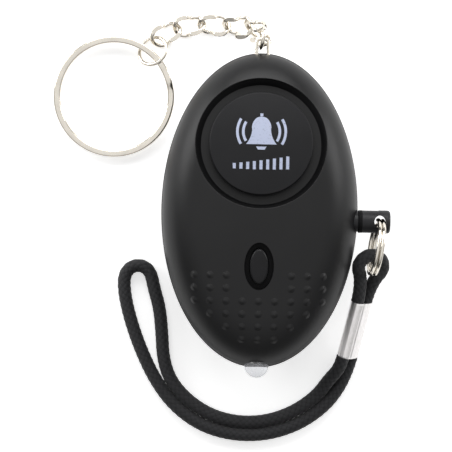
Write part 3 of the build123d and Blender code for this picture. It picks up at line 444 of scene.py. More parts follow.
def ovalStack(levels):  # ovals on the button's axis: (width, length, height) for each level
    points, sides = [], button["sides"]
    for width, length, height in levels:
        for x, y in arcPoints((0, 0), 0.5, 0, 360 - 360 / sides, sides):
            points.append(moatPlace @ Vector((x * width, y * length, height)))
    return points, gridFaces(len(levels), sides) + capFaces(len(levels), sides)


def moatCutter():
    width, length = button["moatWidth"], button["moatLength"]
    depth, edge = button["moatDepth"], button["moatEdge"]
    levels = [(width, length, -depth), (width, length, -edge)]
    for turn in np.radians([25, 50, 75]):
        grow = 2 * edge * (1 - math.cos(turn))
        levels.append((width + grow, length + grow, -edge + edge * math.sin(turn)))
    levels.append((width + 2 * edge, length + 2 * edge, button["moatTop"]))
    # the cutter's darker matt black is left on the moat's walls and floor as painted shade
    return newCutter("moatCutter", *ovalStack(levels), absShadeMatt)


def keyHoleCutter():
    gap = button["gap"]
    size = (button["width"] + 2 * gap, button["length"] + 2 * gap)
    levels = [(*size, height) for height in button["holeSpan"]]
    # the cutter's darker matt black is left on the walls of the button's hole as painted shade
    return newCutter("keyHoleCutter", *ovalStack(levels), absShadeMatt)


pin = {"y": -1.898, "z": 12.496, "start": 20.3, "end": 26.95, "radius": 2.3, "rimRadius": 2.38,
       "rimLength": 2.4, "rimStep": 0.05, "round": 0.6, "bevel": 0.15, "neck": 2.1,
       "neckLength": 1.25, "bore": 1.27, "hole": 1.3, "holeInset": 2.05, "holeReach": 4.0,
       "notchPlay": 0.15, "notchStart": 16.9, "notchLength": 9.0, "collar": (
           (1.9, 20.32), (2.24, 20.33), (2.33, 20.43), (2.33, 21.16), (2.24, 21.26), (1.9, 21.27))}
lamp = {"radius": 2.5, "length": 8.6, "flangeRadius": 2.9, "flange": 1.0, "proud": 2.0,
        "play": 0.08, "holeStart": -36.5, "holeLength": 9.0, "cupAside": 0.45, "postAside": -0.95,
        "cup": ((0.05, 3.4), (0.35, 3.35), (0.95, 2.9), (1.05, 2.9), (0.9, 3.6), (0.5, 3.9),
                (0.5, 8.6), (0.05, 8.6)),
        "post": ((0.05, 3.0), (0.42, 3.0), (0.42, 8.6), (0.05, 8.6))}
bail = {"wire": 0.75, "width": 3.15, "reach": 35.7, "corner": 0.7, "root": 28.9, "play": 0.05,
        "holeStart": 28.5, "holeLength": 8.0}
screws = {"spots": ((0.0, 26.195), (-10.199, -16.9975), (10.199, -16.9975)), "top": 6.412,
          "head": 1.9, "play": 0.12, "below": 1.0}


def roundCutter(name, start, way, radius, length, material=absShell):  # a round hole
    place = basis(start, Vector(way).orthogonal(), way)
    return newCutter(name, *revolved([(radius, 0), (radius, length)], 48, place), material)


def seamCutters():  # notches that both halves share: pin, lamp and bail wires
    yield roundCutter("pinNotch", (pin["notchStart"], pin["y"], pin["z"]), (1, 0, 0),
                      pin["radius"] + pin["notchPlay"], pin["notchLength"])
    yield roundCutter("lampHole", (0, lamp["holeStart"], casing["seam"]), (0, 1, 0),
                      lamp["radius"] + lamp["play"], lamp["holeLength"])
    for side in (-1, 1):
        across = side * (bail["width"] - bail["wire"]) / 2
        yield roundCutter("bailHole", (across, bail["holeStart"], casing["seam"]), (0, 1, 0),
                          bail["wire"] / 2 + bail["play"], bail["holeLength"])


def rearProfile(inset):  # half section of the rear half, from the seam down to the flat
    reach, bottom = halfWidth - inset, inset - casing["flatTrim"]
    rear, flat = casing["rearShoulder"] - inset, casing["flat"] / 2
    run, rise = reach - rear - flat, casing["widest"] - bottom
    crown = (run ** 2 + rise ** 2 - rear ** 2) / (2 * (rise - rear))
    turn = math.degrees(math.atan2(crown - rise, run))
    front = casing["frontShoulder"] - inset
    seamTurn = math.degrees(math.asin((casing["seam"] - casing["widest"]) / front))
    side = arcPoints((frontRun, casing["widest"]), front, seamTurn, 0, 5)
    shoulder = arcPoints((reach - rear, casing["widest"]), rear, 0, -turn, 26)[1:]
    belly = arcPoints((flat, bottom + crown), crown, -turn, -90, 36)[1:]
    base = [(flat * share, bottom) for share in (0.75, 0.5, 0.25, 0.002)]
    # the belly reaches below the floor and is trimmed flat there
    return [(radius, max(height, 0.0)) for radius, height in side + shoulder + belly + base]


def rearShellRings():
    outside, inside = rearProfile(0), rearProfile(casing["wall"])
    top = casing["seam"]
    outside[0] = (outside[0][0] - casing["edge"], top)
    outside.insert(1, (outside[1][0] - 0.01, top - casing["edge"]))
    profile = [(r, z, 0.0) for r, z in outside] + [(r, z, casing["wall"]) for r, z in inside[::-1]]
    angles = np.linspace(0, 2 * math.pi, casing["rays"], endpoint=False)
    rows = []
    for radius, height, inset in profile:
        longer = radius * (halfLength - inset) / (halfWidth - inset)
        rows.append(np.stack([radius * np.cos(angles), longer * np.sin(angles),
                              np.full(len(angles), height)], 1))
    return np.array(rows)


def buildShells():
    rings = frontShellRings()
    faces = gridFaces(*rings.shape[:2]) + capFaces(*rings.shape[:2])
    front = addPiece("frontHalf", rings.reshape(-1, 3), faces, absShell, "casing", ["front_shell"])
    rings = rearShellRings()
    faces = gridFaces(*rings.shape[:2], wrapRows=True)
    rear = addPiece("rearHalf", rings.reshape(-1, 3), faces, absShell, "casing", ["rear_shell"])
    cutAway(front, moatCutter())
    cutAway(front, keyHoleCutter())
    for piece in (front, rear):
        for cutter in seamCutters():
            cutAway(piece, cutter)
    for spot in screws["spots"]:
        cutAway(rear, roundCutter("screwWell", (*spot, -screws["below"]), (0, 0, 1),
                                  screws["head"] + screws["play"], screws["top"] + screws["below"]))
    for piece in (front, rear):
        shadeByAngle(piece, casing["sharpAngle"])


buildShells()
print("shells made")


# Grip dots below the button: low round-topped studs on the front surface

dots = {"radius": 0.75, "height": 0.2, "soft": 1.5, "lift": 0.02, "skirt": 1.25, "sink": -0.12,
        "shares": (1.0, 0.88, 0.74, 0.6, 0.45, 0.3, 0.15, 0.02),
        "pitchX": 3.2805, "pitchY": 2.6195, "firstY": -13.299,
        "rows": ((2, 3, 4), (2, 3, 4), (0, 1, 2, 3, 4), (0, 1, 2, 3), (0, 1, 2), (0, 1))}


def surfaceNormal(x, y):
    step = 0.05
    slopeX = float(frontHeight(x + step, y) - frontHeight(x - step, y)) / (2 * step)
    slopeY = float(frontHeight(x, y + step) - frontHeight(x, y - step)) / (2 * step)
    return Vector((-slopeX, -slopeY, 1)).normalized()


def buildDots():
    points, faces = [], []
    radius, height = dots["radius"], dots["height"]
    profile = [(radius * dots["skirt"], dots["sink"])]
    for share in dots["shares"]:
        rise = math.cos(share * math.pi / 2) ** dots["soft"]
        profile.append((radius * share, height * rise + dots["lift"]))
    for row, columns in enumerate(dots["rows"]):
        y = dots["firstY"] - row * dots["pitchY"]
        for column in sorted({side * column for column in columns for side in (-1, 1)}):
            x = column * dots["pitchX"]
            place = basis((x, y, float(frontHeight(x, y))), (1, 0, 0), surfaceNormal(x, y))
            dotPoints, dotFaces = revolved(profile, 20, place)
            faces += [tuple(index + len(points) for index in face) for face in dotFaces]
            points += dotPoints
    return addPiece("gripDots", points, faces, absShell, "casing", smoothAngle=80)


buildDots()
print("grip dots made")


# Cap over the sounder, with a printed mark: a bell with sound waves over a row of level bars

cap = {"radius": 10.557, "drop": 0.505, "crown": 0.794, "thickness": 1.299, "edge": 0.3,
       "hub": 4.223}
mark = {"lift": 0.025, "bell": 3.1, "centreY": 2.3, "stroke": 0.55, "waves": (3.7, 4.9),
        "waveStarts": (-32, 148), "waveSpan": 64, "bars": 9, "barGap": 1.35, "barRow": -5.2,
        "barWidth": 0.62, "barLow": 0.9, "barRise": 1.7, "rowArch": 0.035, "rowReach": 7.0}
domeRadius = (cap["radius"] ** 2 + cap["crown"] ** 2) / (2 * cap["crown"])


def domeHeight(radius):
    return -cap["drop"] - (domeRadius - math.sqrt(domeRadius ** 2 - radius ** 2))


def buildCap():
    edge, radius = cap["edge"], cap["radius"]
    rim = domeHeight(radius - edge)
    profile = [(radius * share, domeHeight(radius * share))
               for share in np.linspace(0.01, 0.95, 18)]
    profile += [(radius - edge + edge * math.sin(t), rim - edge * (1 - math.cos(t)))
                for t in np.radians(np.linspace(5, 90, 7))]
    under = domeHeight(radius) - cap["thickness"]
    hub, foot = cap["hub"], -recess["depth"]
    profile += [(radius, under + edge), (radius - edge, under), (hub + edge, under),
                (hub, under - edge), (hub, foot), (0.05, foot)]
    points, faces = revolved(profile, 160, capPlace)
    return addPiece("speakerCap", points, faces, absCap, "casing", ["speaker_cap"], smoothAngle=40)


def onDome(x, y):  # a printed point, laid on the cap
    return tuple(capPlace @ Vector((x, y, domeHeight(math.hypot(x, y)) + mark["lift"])))


def strokePoints(line, width):  # a printed stroke along points, as left and right edges
    left, right = [], []
    for index, (x, y) in enumerate(line):
        before, after = line[max(index - 1, 0)], line[min(index + 1, len(line) - 1)]
        wayX, wayY = after[0] - before[0], after[1] - before[1]
        size = math.hypot(wayX, wayY)
        shiftX, shiftY = -wayY / size * width / 2, wayX / size * width / 2
        left.append((x + shiftX, y + shiftY))
        right.append((x - shiftX, y - shiftY))
    return left, right


def buildMark():
    points, faces = [], []

    def addStrip(left, right, columns=4):
        first, rows = len(points), len(left)
        for (lx, ly), (rx, ry) in zip(left, right):
            for share in np.linspace(0, 1, columns):
                points.append(onDome(lx + (rx - lx) * share, ly + (ry - ly) * share))
        for a, b, c, d in gridFaces(rows, columns, wrapColumns=False):
            faces.append((first + a, first + d, first + c, first + b))

    size, centreY = mark["bell"], mark["centreY"]
    heights = np.linspace(-0.85, 1.0, 24)

    def bellHalf(height):  # half width of the bell over its height
        if height > 0.2:
            return 0.62 * math.sqrt(max(1 - ((height - 0.2) / 0.8) ** 2, 0.0)) + 0.02
        return 0.62 + 0.38 * ((0.2 - height) / 1.05) ** 2.2

    addStrip([(-bellHalf(h) * size, centreY + h * size) for h in heights],
             [(bellHalf(h) * size, centreY + h * size) for h in heights], 9)
    clapper, crown = ((0.34, -1.0), (0.22, -1.2)), ((0.1, 1.02), (0.1, 1.2))  # shares of the size
    for shares, columns in ((clapper, 6), (crown, 3)):
        sides = [[(side * x * size, centreY + y * size) for x, y in shares] for side in (-1, 1)]
        addStrip(*sides, columns)
    for reach in mark["waves"]:
        for start in mark["waveStarts"]:
            line = arcPoints((0, centreY), reach, start, start + mark["waveSpan"], 20)
            addStrip(*strokePoints(line, mark["stroke"]))
    middle = (mark["bars"] - 1) / 2
    for index in range(mark["bars"]):
        offset = (index - middle) * mark["barGap"]
        tall = mark["barLow"] + mark["barRise"] * (index + 1) / mark["bars"]
        sag = (mark["rowReach"] ** 2 - offset ** 2) / mark["rowReach"]
        low = mark["barRow"] - mark["rowArch"] * sag
        line = [(offset, low + tall * share) for share in np.linspace(0, 1, 5)]
        addStrip(*strokePoints(line, mark["barWidth"]), 3)
    printed = addPiece("printedMark", points, faces, ink, "casing", closed=False)


buildCap()
buildMark()
print("cap made")


# Lamp button, pull pin and lamp

def buildButton():
    width, length, proud, edge = (button[key] for key in ("width", "length", "proud", "round"))
    flange = (width + 2 * button["flange"], length + 2 * button["flange"])
    levels = [(*flange, height) for height in button["flangeSpan"]]
    levels += [(width, length, button["neck"]), (width, length, proud - edge)]
    for turn in np.radians(np.linspace(15, 90, 7)):
        shrink = 2 * edge * (1 - math.cos(turn))
        levels.append((width - shrink, length - shrink, proud - edge + edge * math.sin(turn)))
    for share in (0.85, 0.6, 0.3):
        shrink = (width - 2 * edge) * (1 - share)
        levels.append((width - 2 * edge - shrink, length - 2 * edge - shrink,
                       proud + button["crown"] * (1 - share ** 2)))
    addPiece("lampButton", *ovalStack(levels), absSmall, "button", ["led_button"], smoothAngle=50)


def buildPin():
    start, end, rim, bevel = pin["start"], pin["end"], pin["round"], pin["bevel"]
    root, step = start - pin["neckLength"], end - pin["rimLength"]
    place = basis((0, pin["y"], pin["z"]), (0, 1, 0), (1, 0, 0))
    profile = [(pin["bore"], root), (pin["neck"], root), (pin["neck"], start - 0.02),
               (pin["radius"] - bevel, start), (pin["radius"], start + bevel),
               (pin["radius"], step - pin["rimStep"]), (pin["rimRadius"], step + pin["rimStep"])]
    profile += [(pin["rimRadius"] - rim + rim * math.cos(t), end - rim + rim * math.sin(t))
                for t in np.radians(np.linspace(0, 85, 9))]
    profile += [(0.8, end), (0.02, end)]
    head = addPiece("pullPin", *revolved(profile, 96, place), absPin, "pin", ["pull_pin"])
    below = (end - pin["holeInset"], pin["y"], pin["z"] - pin["holeReach"])
    # the hole's walls take the darker matt black as painted shade
    cutAway(head, roundCutter("pinHole", below, (0, 0, 1), pin["hole"], 2 * pin["holeReach"],
                              absShadeMatt))
    shadeByAngle(head, 40)
    # a ring over the first millimetre of the head, in the darker matt black so that it also paints
    # the shade where the pin enters the casing
    collar = addPiece("pinCollar", *revolved(pin["collar"], 96, place), absShadeMatt, "pin",
                      smoothAngle=50)


def buildLamp():
    radius, length = lamp["radius"], lamp["length"]
    place = basis((0, -halfLength - lamp["proud"], casing["seam"]), (1, 0, 0), (0, 1, 0))
    dome = [(radius * math.sin(t), radius * (1 - math.cos(t)))
            for t in np.radians(np.linspace(1, 90, 20))]
    start = length - lamp["flange"]
    profile = dome + [(radius, start), (lamp["flangeRadius"], start),
                      (lamp["flangeRadius"], length), (0.05, length)]
    addPiece("lampLens", *revolved(profile, 64, place), epoxyClear, "casing", ["lamp_lens"])
    for name, shape, sides in (("lampCup", "cup", 32), ("lampPost", "post", 24)):
        aside = place @ Matrix.Translation((lamp[shape + "Aside"], 0, 0))
        inside = addPiece(name, *revolved(lamp[shape], sides, aside), steelShaft, "casing")


buildButton()
buildPin()
buildLamp()
print("button, pin and lamp made")


# Wire work: sweeps of a section along points

def sweep(points, section, ups=None, closed=False):
    # section is (across, up) pairs; up is carried along the line unless it is given
    points = [Vector(p) for p in points]
    count = len(points)
    verts, up = [], None
    for index, point in enumerate(points):
        before = points[index - 1] if closed or index else point
        after = points[(index + 1) % count] if closed or index < count - 1 else point
        way = (after - before).normalized()
        if ups:
            up = Vector(ups[index])
        elif up is None:
            up = way.orthogonal()
        up = (up - way * up.dot(way)).normalized()
        across = way.cross(up)
        verts += [point + across * x + up * y for x, y in section]
    faces = gridFaces(count, len(section), wrapRows=closed)
    return verts, faces + ([] if closed else capFaces(count, len(section)))


def roundSection(radius, sides=20):
    return arcPoints((0, 0), radius, 0, 360 - 360 / sides, sides)


def flatSection(width, height, edge):  # rectangle with rounded corners
    section = []
    for x, y, start in ((1, 1, 0), (-1, 1, 90), (-1, -1, 180), (1, -1, 270)):
        centre = (x * (width / 2 - edge), y * (height / 2 - edge))
        section += arcPoints(centre, edge, start, start + 90, 5)
    return section


def roundedLine(points, radius, steps=8):  # a wire path with bends of one radius
    points = [Vector(p) for p in points]
    line = [points[0]]
    for before, corner, after in zip(points, points[1:], points[2:]):
        first, second = (before - corner).normalized(), (after - corner).normalized()
        half = first.angle(second) / 2
        cut = radius / math.tan(half)
        centre = corner + (first + second).normalized() * (radius / math.sin(half))
        start, end = corner + first * cut - centre, corner + second * cut - centre
        for share in np.linspace(0, 1, steps):
            line.append(centre + start.normalized().slerp(end.normalized(), share) * radius)
    line.append(points[-1])
    return line


def buildBail():
    across, z = (bail["width"] - bail["wire"]) / 2, casing["seam"]
    end = bail["reach"] - bail["wire"] / 2
    line = roundedLine([(-across, bail["root"], z), (-across, end, z), (across, end, z),
                        (across, bail["root"], z)], bail["corner"])
    addPiece("chainBail", *sweep(line, roundSection(bail["wire"] / 2)), nickel, "casing",
             ["chain_bail"], smoothAngle=50)


# Curb chain: each link is a twisted loop of wire, filed flat on both faces

chain = {"length": 7.25, "wire": 0.9, "bow": 2.2, "twist": 36.0, "thickness": 2.7, "play": 0.15,
         "headings": (97.0, 151.2, 172.5, 178.3, 189.5, 209.5),
         "slopes": (70.3, 57.1, 24.4, -7.3, 6.0, 0.2),
         "rolls": (-106.7, -32.2, -21.6, -12.1, -1.2, 0.4)}


def linkLoop():  # the wire's closed centre line, in the link's own place
    half = chain["length"] / 2 - chain["wire"] / 2 - chain["bow"]
    twist = math.radians(chain["twist"])
    side, rise = chain["bow"] * math.cos(twist), chain["bow"] * math.sin(twist)
    turn = 2 * math.atan2(rise, half)
    bend = half / math.sin(turn)
    loop = []
    for end in (1, -1):  # a bow and the strand that leaves it, then the same from the other end
        for t in np.linspace(0, math.pi, 25):
            loop.append((end * (half + chain["bow"] * math.sin(t)), end * side * math.cos(t),
                         -rise * math.cos(t)))
        for t in np.linspace(0, turn, 10)[1:]:  # the strand, two arcs
            along, climb = half - bend * math.sin(t), rise - bend * (1 - math.cos(t))
            loop.append((end * along, -end * side, climb))
        for t in np.linspace(turn, 0, 10)[1:-1]:
            along, climb = half - bend * math.sin(t), rise - bend * (1 - math.cos(t))
            loop.append((-end * along, -end * side, -climb))
    return loop


def linkPlace(centre, heading, slope, roll):
    turn, drop = math.radians(heading), math.radians(slope)
    way = Vector((math.cos(turn) * math.cos(drop), math.sin(turn) * math.cos(drop),
                  -math.sin(drop)))
    level = way.cross(Vector((0, 0, 1)).cross(way).normalized())
    level = Matrix.Rotation(math.radians(roll), 3, way) @ level
    return basis(centre, way, level), way


def buildChain():
    wire, length = chain["wire"], chain["length"]
    pitch = length - 2 * wire - chain["play"]
    hinge = Vector((0, bail["reach"] - bail["wire"] / 2, casing["seam"]))
    loop = linkLoop()
    blank, faces = sweep(loop, roundSection(wire / 2, 18), closed=True)
    face = chain["thickness"] / 2
    for index in range(6):
        angles = (chain["headings"][index], chain["slopes"][index], chain["rolls"][index])
        way = linkPlace(hinge, *angles)[1]
        if index:
            centre = hinge + way * (pitch / 2)
        else:
            centre = hinge + way * ((length - wire) / 2 - (bail["wire"] + wire) / 2 - chain["play"])
        place = linkPlace(centre, *angles)[0]
        filed = [place @ Vector((p.x, p.y, max(-face, min(face, p.z)))) for p in blank]
        body = f"link_{index + 1}"
        addPiece(f"chainLink{index + 1}", filed, faces, nickel, body, ["chain_" + body],
                 smoothAngle=28)
        hinge = centre + way * (pitch / 2)


# Jump ring, key ring and pin ring

rings = {"heading": 50.3, "jumpCentre": (-22.98, 33.30, 2.056), "jumpWire": 0.78,
         "jumpRadius": 3.15, "jumpTilt": 31.8, "jumpGap": 0.12, "jumpGapTurn": 235.0,
         "keyCentre": (-31.03, 23.55, 1.536), "keyRadius": 12.05, "keyBand": 1.4, "keyTurn": 0.87,
         "keyTilt": 2.4, "keyStep": 14.0, "keyStart": -45.0,
         "pinRadius": 5.55, "pinBand": 0.9, "pinTurn": 0.85, "pinStep": 20.0, "pinStart": 205.0,
         "pinHeading": 262.5, "pinHold": 5.26, "pinLean": -5.0, "edge": 0.36, "turnGap": 0.04}


def jumpPlace():
    turn, tilt = math.radians(rings["heading"]), math.radians(rings["jumpTilt"])
    way = Vector((math.cos(turn), math.sin(turn), 0))
    side = Vector((math.sin(turn) * math.cos(tilt), -math.cos(turn) * math.cos(tilt),
                   math.sin(tilt)))
    return basis(rings["jumpCentre"], way, way.cross(side))


def keyPlace():
    turn, rise = math.radians(rings["heading"]), math.radians(rings["keyTilt"])
    way = Vector((math.cos(turn) * math.cos(rise), math.sin(turn) * math.cos(rise), math.sin(rise)))
    side = Vector((-math.sin(turn), math.cos(turn), 0))
    return basis(rings["keyCentre"], way, way.cross(side))


def pinRingPlace():
    turn = math.radians(rings["pinHeading"])
    way = Vector((math.cos(turn), math.sin(turn), 0))
    centre = Vector((pin["end"] - pin["holeInset"], pin["y"], pin["z"])) + way * rings["pinHold"]
    lean = Matrix.Rotation(math.radians(rings["pinLean"]), 3, way)
    return basis(centre, way, lean @ way.cross(Vector((0, 0, 1))))


def splitRing(name, radius, band, turn, step, start, place, body, replaced):
    # a flat wire wound twice round: lower turn, a ramp, upper turn
    angles = np.radians(np.linspace(start + step, start + 720 - step, 260))
    line, ups = [], []
    for angle in angles:
        climb = (math.degrees(angle) - (start + 360)) / step  # 0..1 across the ramp
        climb = min(max(climb, 0.0), 1.0)
        level = -turn / 2 + turn * climb * climb * (3 - 2 * climb)
        local = Vector((radius * math.cos(angle), radius * math.sin(angle), level))
        line.append(place @ local)
        ups.append(place.to_3x3() @ Vector((0, 0, 1)))
    section = flatSection(band, turn - rings["turnGap"], rings["edge"])
    addPiece(name, *sweep(line, section, ups), nickel, body, [replaced], smoothAngle=50)


def buildRings():
    place, radius, start = jumpPlace(), rings["jumpRadius"], rings["jumpGapTurn"]
    gap = math.degrees(rings["jumpGap"] / radius)
    line = [place @ Vector((x, y, 0))
            for x, y in arcPoints((0, 0), radius, start, start + 360 - gap, 90)]
    addPiece("jumpRing", *sweep(line, roundSection(rings["jumpWire"] / 2)), nickel, "jump",
             ["jump_ring"], smoothAngle=50)
    splitRing("keyRing", rings["keyRadius"], rings["keyBand"], rings["keyTurn"], rings["keyStep"],
              rings["keyStart"], keyPlace(), "keys", "key_ring")
    splitRing("pinRing", rings["pinRadius"], rings["pinBand"], rings["pinTurn"], rings["pinStep"],
              rings["pinStart"], pinRingPlace(), "ring", "pin_ring")


buildBail()
buildChain()
buildRings()
print("wire work made")


# Wrist strap: braided cord, folded ferrule and the loop round the pin ring

strap = {"diameter": 2.8, "pair": 2.82, "top": (21.75, -18.5, 7.4), "length": 12.4,
         "heading": 257.4, "slope": 15.6, "width": 5.0, "thickness": 3.4, "wall": 0.5,
         "roll": -50.0, "loopRoll": -22.0,
         "round": 1.6, "seam": 1.3, "seamTurn": 148.0, "fold": 0.03, "foldTurn": 236.0,
         "foldSpread": 5.0, "corePlay": 0.06, "rows": 60, "coreRows": 40, "exit": 2.6,
         "loopExit": 1.9, "strands": 14, "braidMm": 1.35, "relief": 0.15, "around": 56,
         "spacing": 0.12}
strapTurn, strapDrop = math.radians(strap["heading"]), math.radians(strap["slope"])
strapWay = Vector((math.cos(strapTurn) * math.cos(strapDrop),
                   math.sin(strapTurn) * math.cos(strapDrop), -math.sin(strapDrop)))
strapSide = Vector((0, 0, 1)).cross(strapWay).normalized()
strapTop = Vector(strap["top"])
strapEnd = strapTop + strapWay * strap["length"]

# the cord's route in millimetres: outer strand, fold, inner strand and its lift to the ferrule
cordRoute = (
    (17.6, -37.2, 1.4), (14.4, -41.3, 1.4), (9.2, -45.0, 1.4), (2.6, -47.25, 1.4),
    (-4.6, -47.45, 1.4), (-11.4, -45.55, 1.4), (-17.1, -41.5, 1.4), (-21.3, -36.0, 1.4),
    (-24.5, -29.4, 1.4),
    (-26.6, -23.6, 1.4), (-27.9, -18.6, 1.4), (-28.25, -14.4, 1.4),
    (-26.85, -12.3, 1.4), (-24.5, -11.9, 1.4), (-22.55, -13.3, 1.4),
    (-21.75, -16.9, 1.4), (-20.55, -20.8, 1.4), (-19.95, -26.0, 1.4), (-19.6, -31.45, 1.4),
    (-18.05, -36.1, 1.4), (-14.5, -40.15, 1.4), (-9.5, -43.35, 1.4), (-3.5, -44.83, 1.4),
    (2.6, -44.46, 1.4), (8.3, -42.33, 1.4), (13.02, -38.88, 1.4), (15.48, -35.2, 2.9))
# the small loop's points beyond the ferrule: (reach, aside)
loopRoute = ((5.4, -1.7), (7.2, -2.85), (9.0, -2.5), (10.25, -1.1), (10.25, 1.1), (9.0, 2.5),
             (7.2, 2.85), (5.4, 1.7))


def strapAcross(roll):  # the strap's sideways way, rolled about its own line
    return Matrix.Rotation(math.radians(roll), 3, strapWay) @ strapSide


def strapPoint(reach, aside, roll):  # a point beside the strap's line, from the ferrule's top
    return strapTop - strapWay * reach + strapAcross(roll) * aside


def splineLine(name, points):  # a smooth line through the route's control points
    curve = bpy.data.curves.new(name, "CURVE")
    curve.dimensions = "3D"
    curve.resolution_u = 24
    spline = curve.splines.new("NURBS")
    spline.points.add(len(points) - 1)
    for point, place in zip(spline.points, points):
        point.co = (*(Vector(place) * mm), 1)
    spline.order_u = 3
    spline.use_endpoint_u = True
    guide = bpy.data.objects.new(name, curve)
    bpy.context.scene.collection.objects.link(guide)
    bpy.context.view_layer.update()
    mesh = bpy.data.meshes.new_from_object(guide)
    line = [vertex.co / mm for vertex in mesh.vertices]
    bpy.data.objects.remove(guide, do_unlink=True)
    bpy.data.meshes.remove(mesh)
    return line


def evenLine(line, spacing):  # the same line at an even spacing
    track = np.array([tuple(p) for p in line])
    run = np.concatenate([[0], np.cumsum(np.linalg.norm(np.diff(track, axis=0), axis=1))])
    even = np.linspace(0, run[-1], int(run[-1] / spacing))
    places = np.stack([np.interp(even, run, track[:, axis]) for axis in range(3)], 1)
    return [Vector(place) for place in places], even


def braidTube(name, line, replaced):
    # a braid: two sets of strands cross over and under, each crown standing proud
    points, along = evenLine(line, strap["spacing"])
    radius, relief, around = strap["diameter"] / 2, strap["relief"], strap["around"]
    angles = np.linspace(0, 2 * math.pi, around, endpoint=False)
    lay = along[:, None] / strap["braidMm"]
    turn = angles[None, :] / (2 * math.pi) * strap["strands"] / 2
    first, second = turn + lay, turn - lay
    over = (np.floor(first) + np.floor(second)) % 2
    crossA, crossB = first % 1 * 2 - 1, second % 1 * 2 - 1
    crownA = np.sqrt(1 - crossA ** 2 * 0.96) * (0.75 + 0.25 * np.cos(crossB * math.pi / 2))
    crownB = np.sqrt(1 - crossB ** 2 * 0.96) * (0.75 + 0.25 * np.cos(crossA * math.pi / 2))
    height = np.where(over > 0, crownA, crownB)
    section = [(math.cos(a), math.sin(a)) for a in angles]
    unit, faces = sweep(points, section)
    unit = np.array([tuple(p) for p in unit]).reshape(len(points), around, 3)
    centre = np.array([tuple(p) for p in points])[:, None, :]
    outward = unit - centre
    tube = centre + outward * (radius - relief + relief * height)[:, :, None]
    cord = addPiece(name, tube.reshape(-1, 3), faces, polyester, "strap", [replaced],
                    smoothAngle=80)
    # the braid's height is kept on the cord so that its colour paints sheen on the crowns and shade
    # between strands
    shade = cord.data.attributes.new("relief", "FLOAT", "POINT")
    shade.data.foreach_set("value", height.reshape(-1).astype(np.float32))
    return cord


def buildStrap():
    across, roll, start = strap["pair"] / 2, strap["roll"], strap["loopExit"]
    outer, inner = (strapPoint(-strap["length"], side * across, roll) for side in (1, -1))
    route = [outer, outer + strapWay * strap["exit"], *map(Vector, cordRoute),
             inner + strapWay * strap["exit"], inner]
    line = splineLine("wristGuide", route)
    wrist = braidTube("wristCord", line, "wrist_cord")
    loop = [strapPoint(0, -across, roll), strapPoint(start, -across, roll)]
    loop += [strapPoint(reach, aside, strap["loopRoll"]) for reach, aside in loopRoute]
    loop += [strapPoint(start, across, roll), strapPoint(0, across, roll)]
    ringLoop = braidTube("ringLoop", splineLine("loopGuide", loop), "ring_loop")
    ferrule, core = buildFerrule()
    track, along = evenLine(line, 1.0)
    [tuple(point * mm) for point in track]


def openOutline(outline):  # the outline without its seam, from one lip round to the other
    dense = []
    shares = np.linspace(0, 1, 8, endpoint=False)
    for (x0, y0), (x1, y1) in zip(outline, outline[1:] + outline[:1]):
        dense += [(x0 + (x1 - x0) * share, y0 + (y1 - y0) * share) for share in shares]
    seamTurn = math.radians(strap["seamTurn"])

    def turnFromSeam(p):
        return (math.atan2(p[1], p[0]) - seamTurn) % (2 * math.pi)

    seamX, seamY = min(dense, key=lambda p: min(turnFromSeam(p), 2 * math.pi - turnFromSeam(p)))
    return sorted((p for p in dense if math.hypot(p[0] - seamX, p[1] - seamY) > strap["seam"] / 2),
                  key=turnFromSeam)


def buildFerrule():
    place = basis(strapEnd, strapAcross(strap["roll"]), -strapWay)
    wall, width, thickness = strap["wall"], strap["width"], strap["thickness"]
    outer = openOutline(flatSection(width, thickness, strap["round"]))
    inner = [(x * (width - 2 * wall) / width, y * (thickness - 2 * wall) / thickness)
             for x, y in outer[::-1]]
    points = []
    for share in np.linspace(0, 1, strap["rows"]):
        edge = 0.06 if share in (0.0, 1.0) else 0.0
        for index, (x, y) in enumerate(outer + inner):
            turn = math.degrees(math.atan2(y, x)) % 360
            near = math.exp(-((turn - strap["foldTurn"]) / strap["foldSpread"]) ** 2)
            dent = 1 - strap["fold"] * near if index < len(outer) else 1.0
            points.append(place @ Vector((x * dent * (1 - edge / 2), y * dent * (1 - edge),
                                          strap["length"] * share)))
    size = (strap["rows"], len(outer) + len(inner))
    ferrule = addPiece("cordFerrule", points, gridFaces(*size) + capFaces(*size), aluminium,
                       "strap", ["ferrule"], smoothAngle=40)
    less = 2 * wall + strap["corePlay"]
    core = flatSection(width - less, thickness - less, strap["round"] - wall)
    points = [place @ Vector((x, y, strap["length"] * share))
              for share in np.linspace(0.01, 0.99, strap["coreRows"]) for x, y in core]
    size = (strap["coreRows"], len(core))
    clamped = addPiece("clampedCord", points, gridFaces(*size) + capFaces(*size), polyester,
                       "strap", ["clamped_cord"], smoothAngle=50)
    return ferrule, clamped


buildStrap()
print("wrist strap made")


# Finishes for the pieces that stay as the CAD has them

carried = {"sounder_plate": brass, "sounder_ceramic": ceramic, "circuit_board": board,
           "switch_body": epoxyChip, "switch_plunger": absSmall, "driver_chip": epoxyChip,
           "coil_core": epoxyChip, "coil_winding": copper, "cell_tray": absTray, "cell_1": cellCase,
           "cell_2": cellCase, "cell_3": cellCase, "lower_contact": nickel, "upper_contact": nickel,
           "lamp_leads": nickel, "case_screws": nickel, "pin_shaft": steelShaft,
           "pin_sleeve": absSmall, "contact_springs": brass}
for node, material in carried.items():
    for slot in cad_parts[node].material_slots:
        slot.material = material
print("carried pieces finished")


# Floor, light and camera. The studio's lengths are in millimetres, the lamps' in metres.

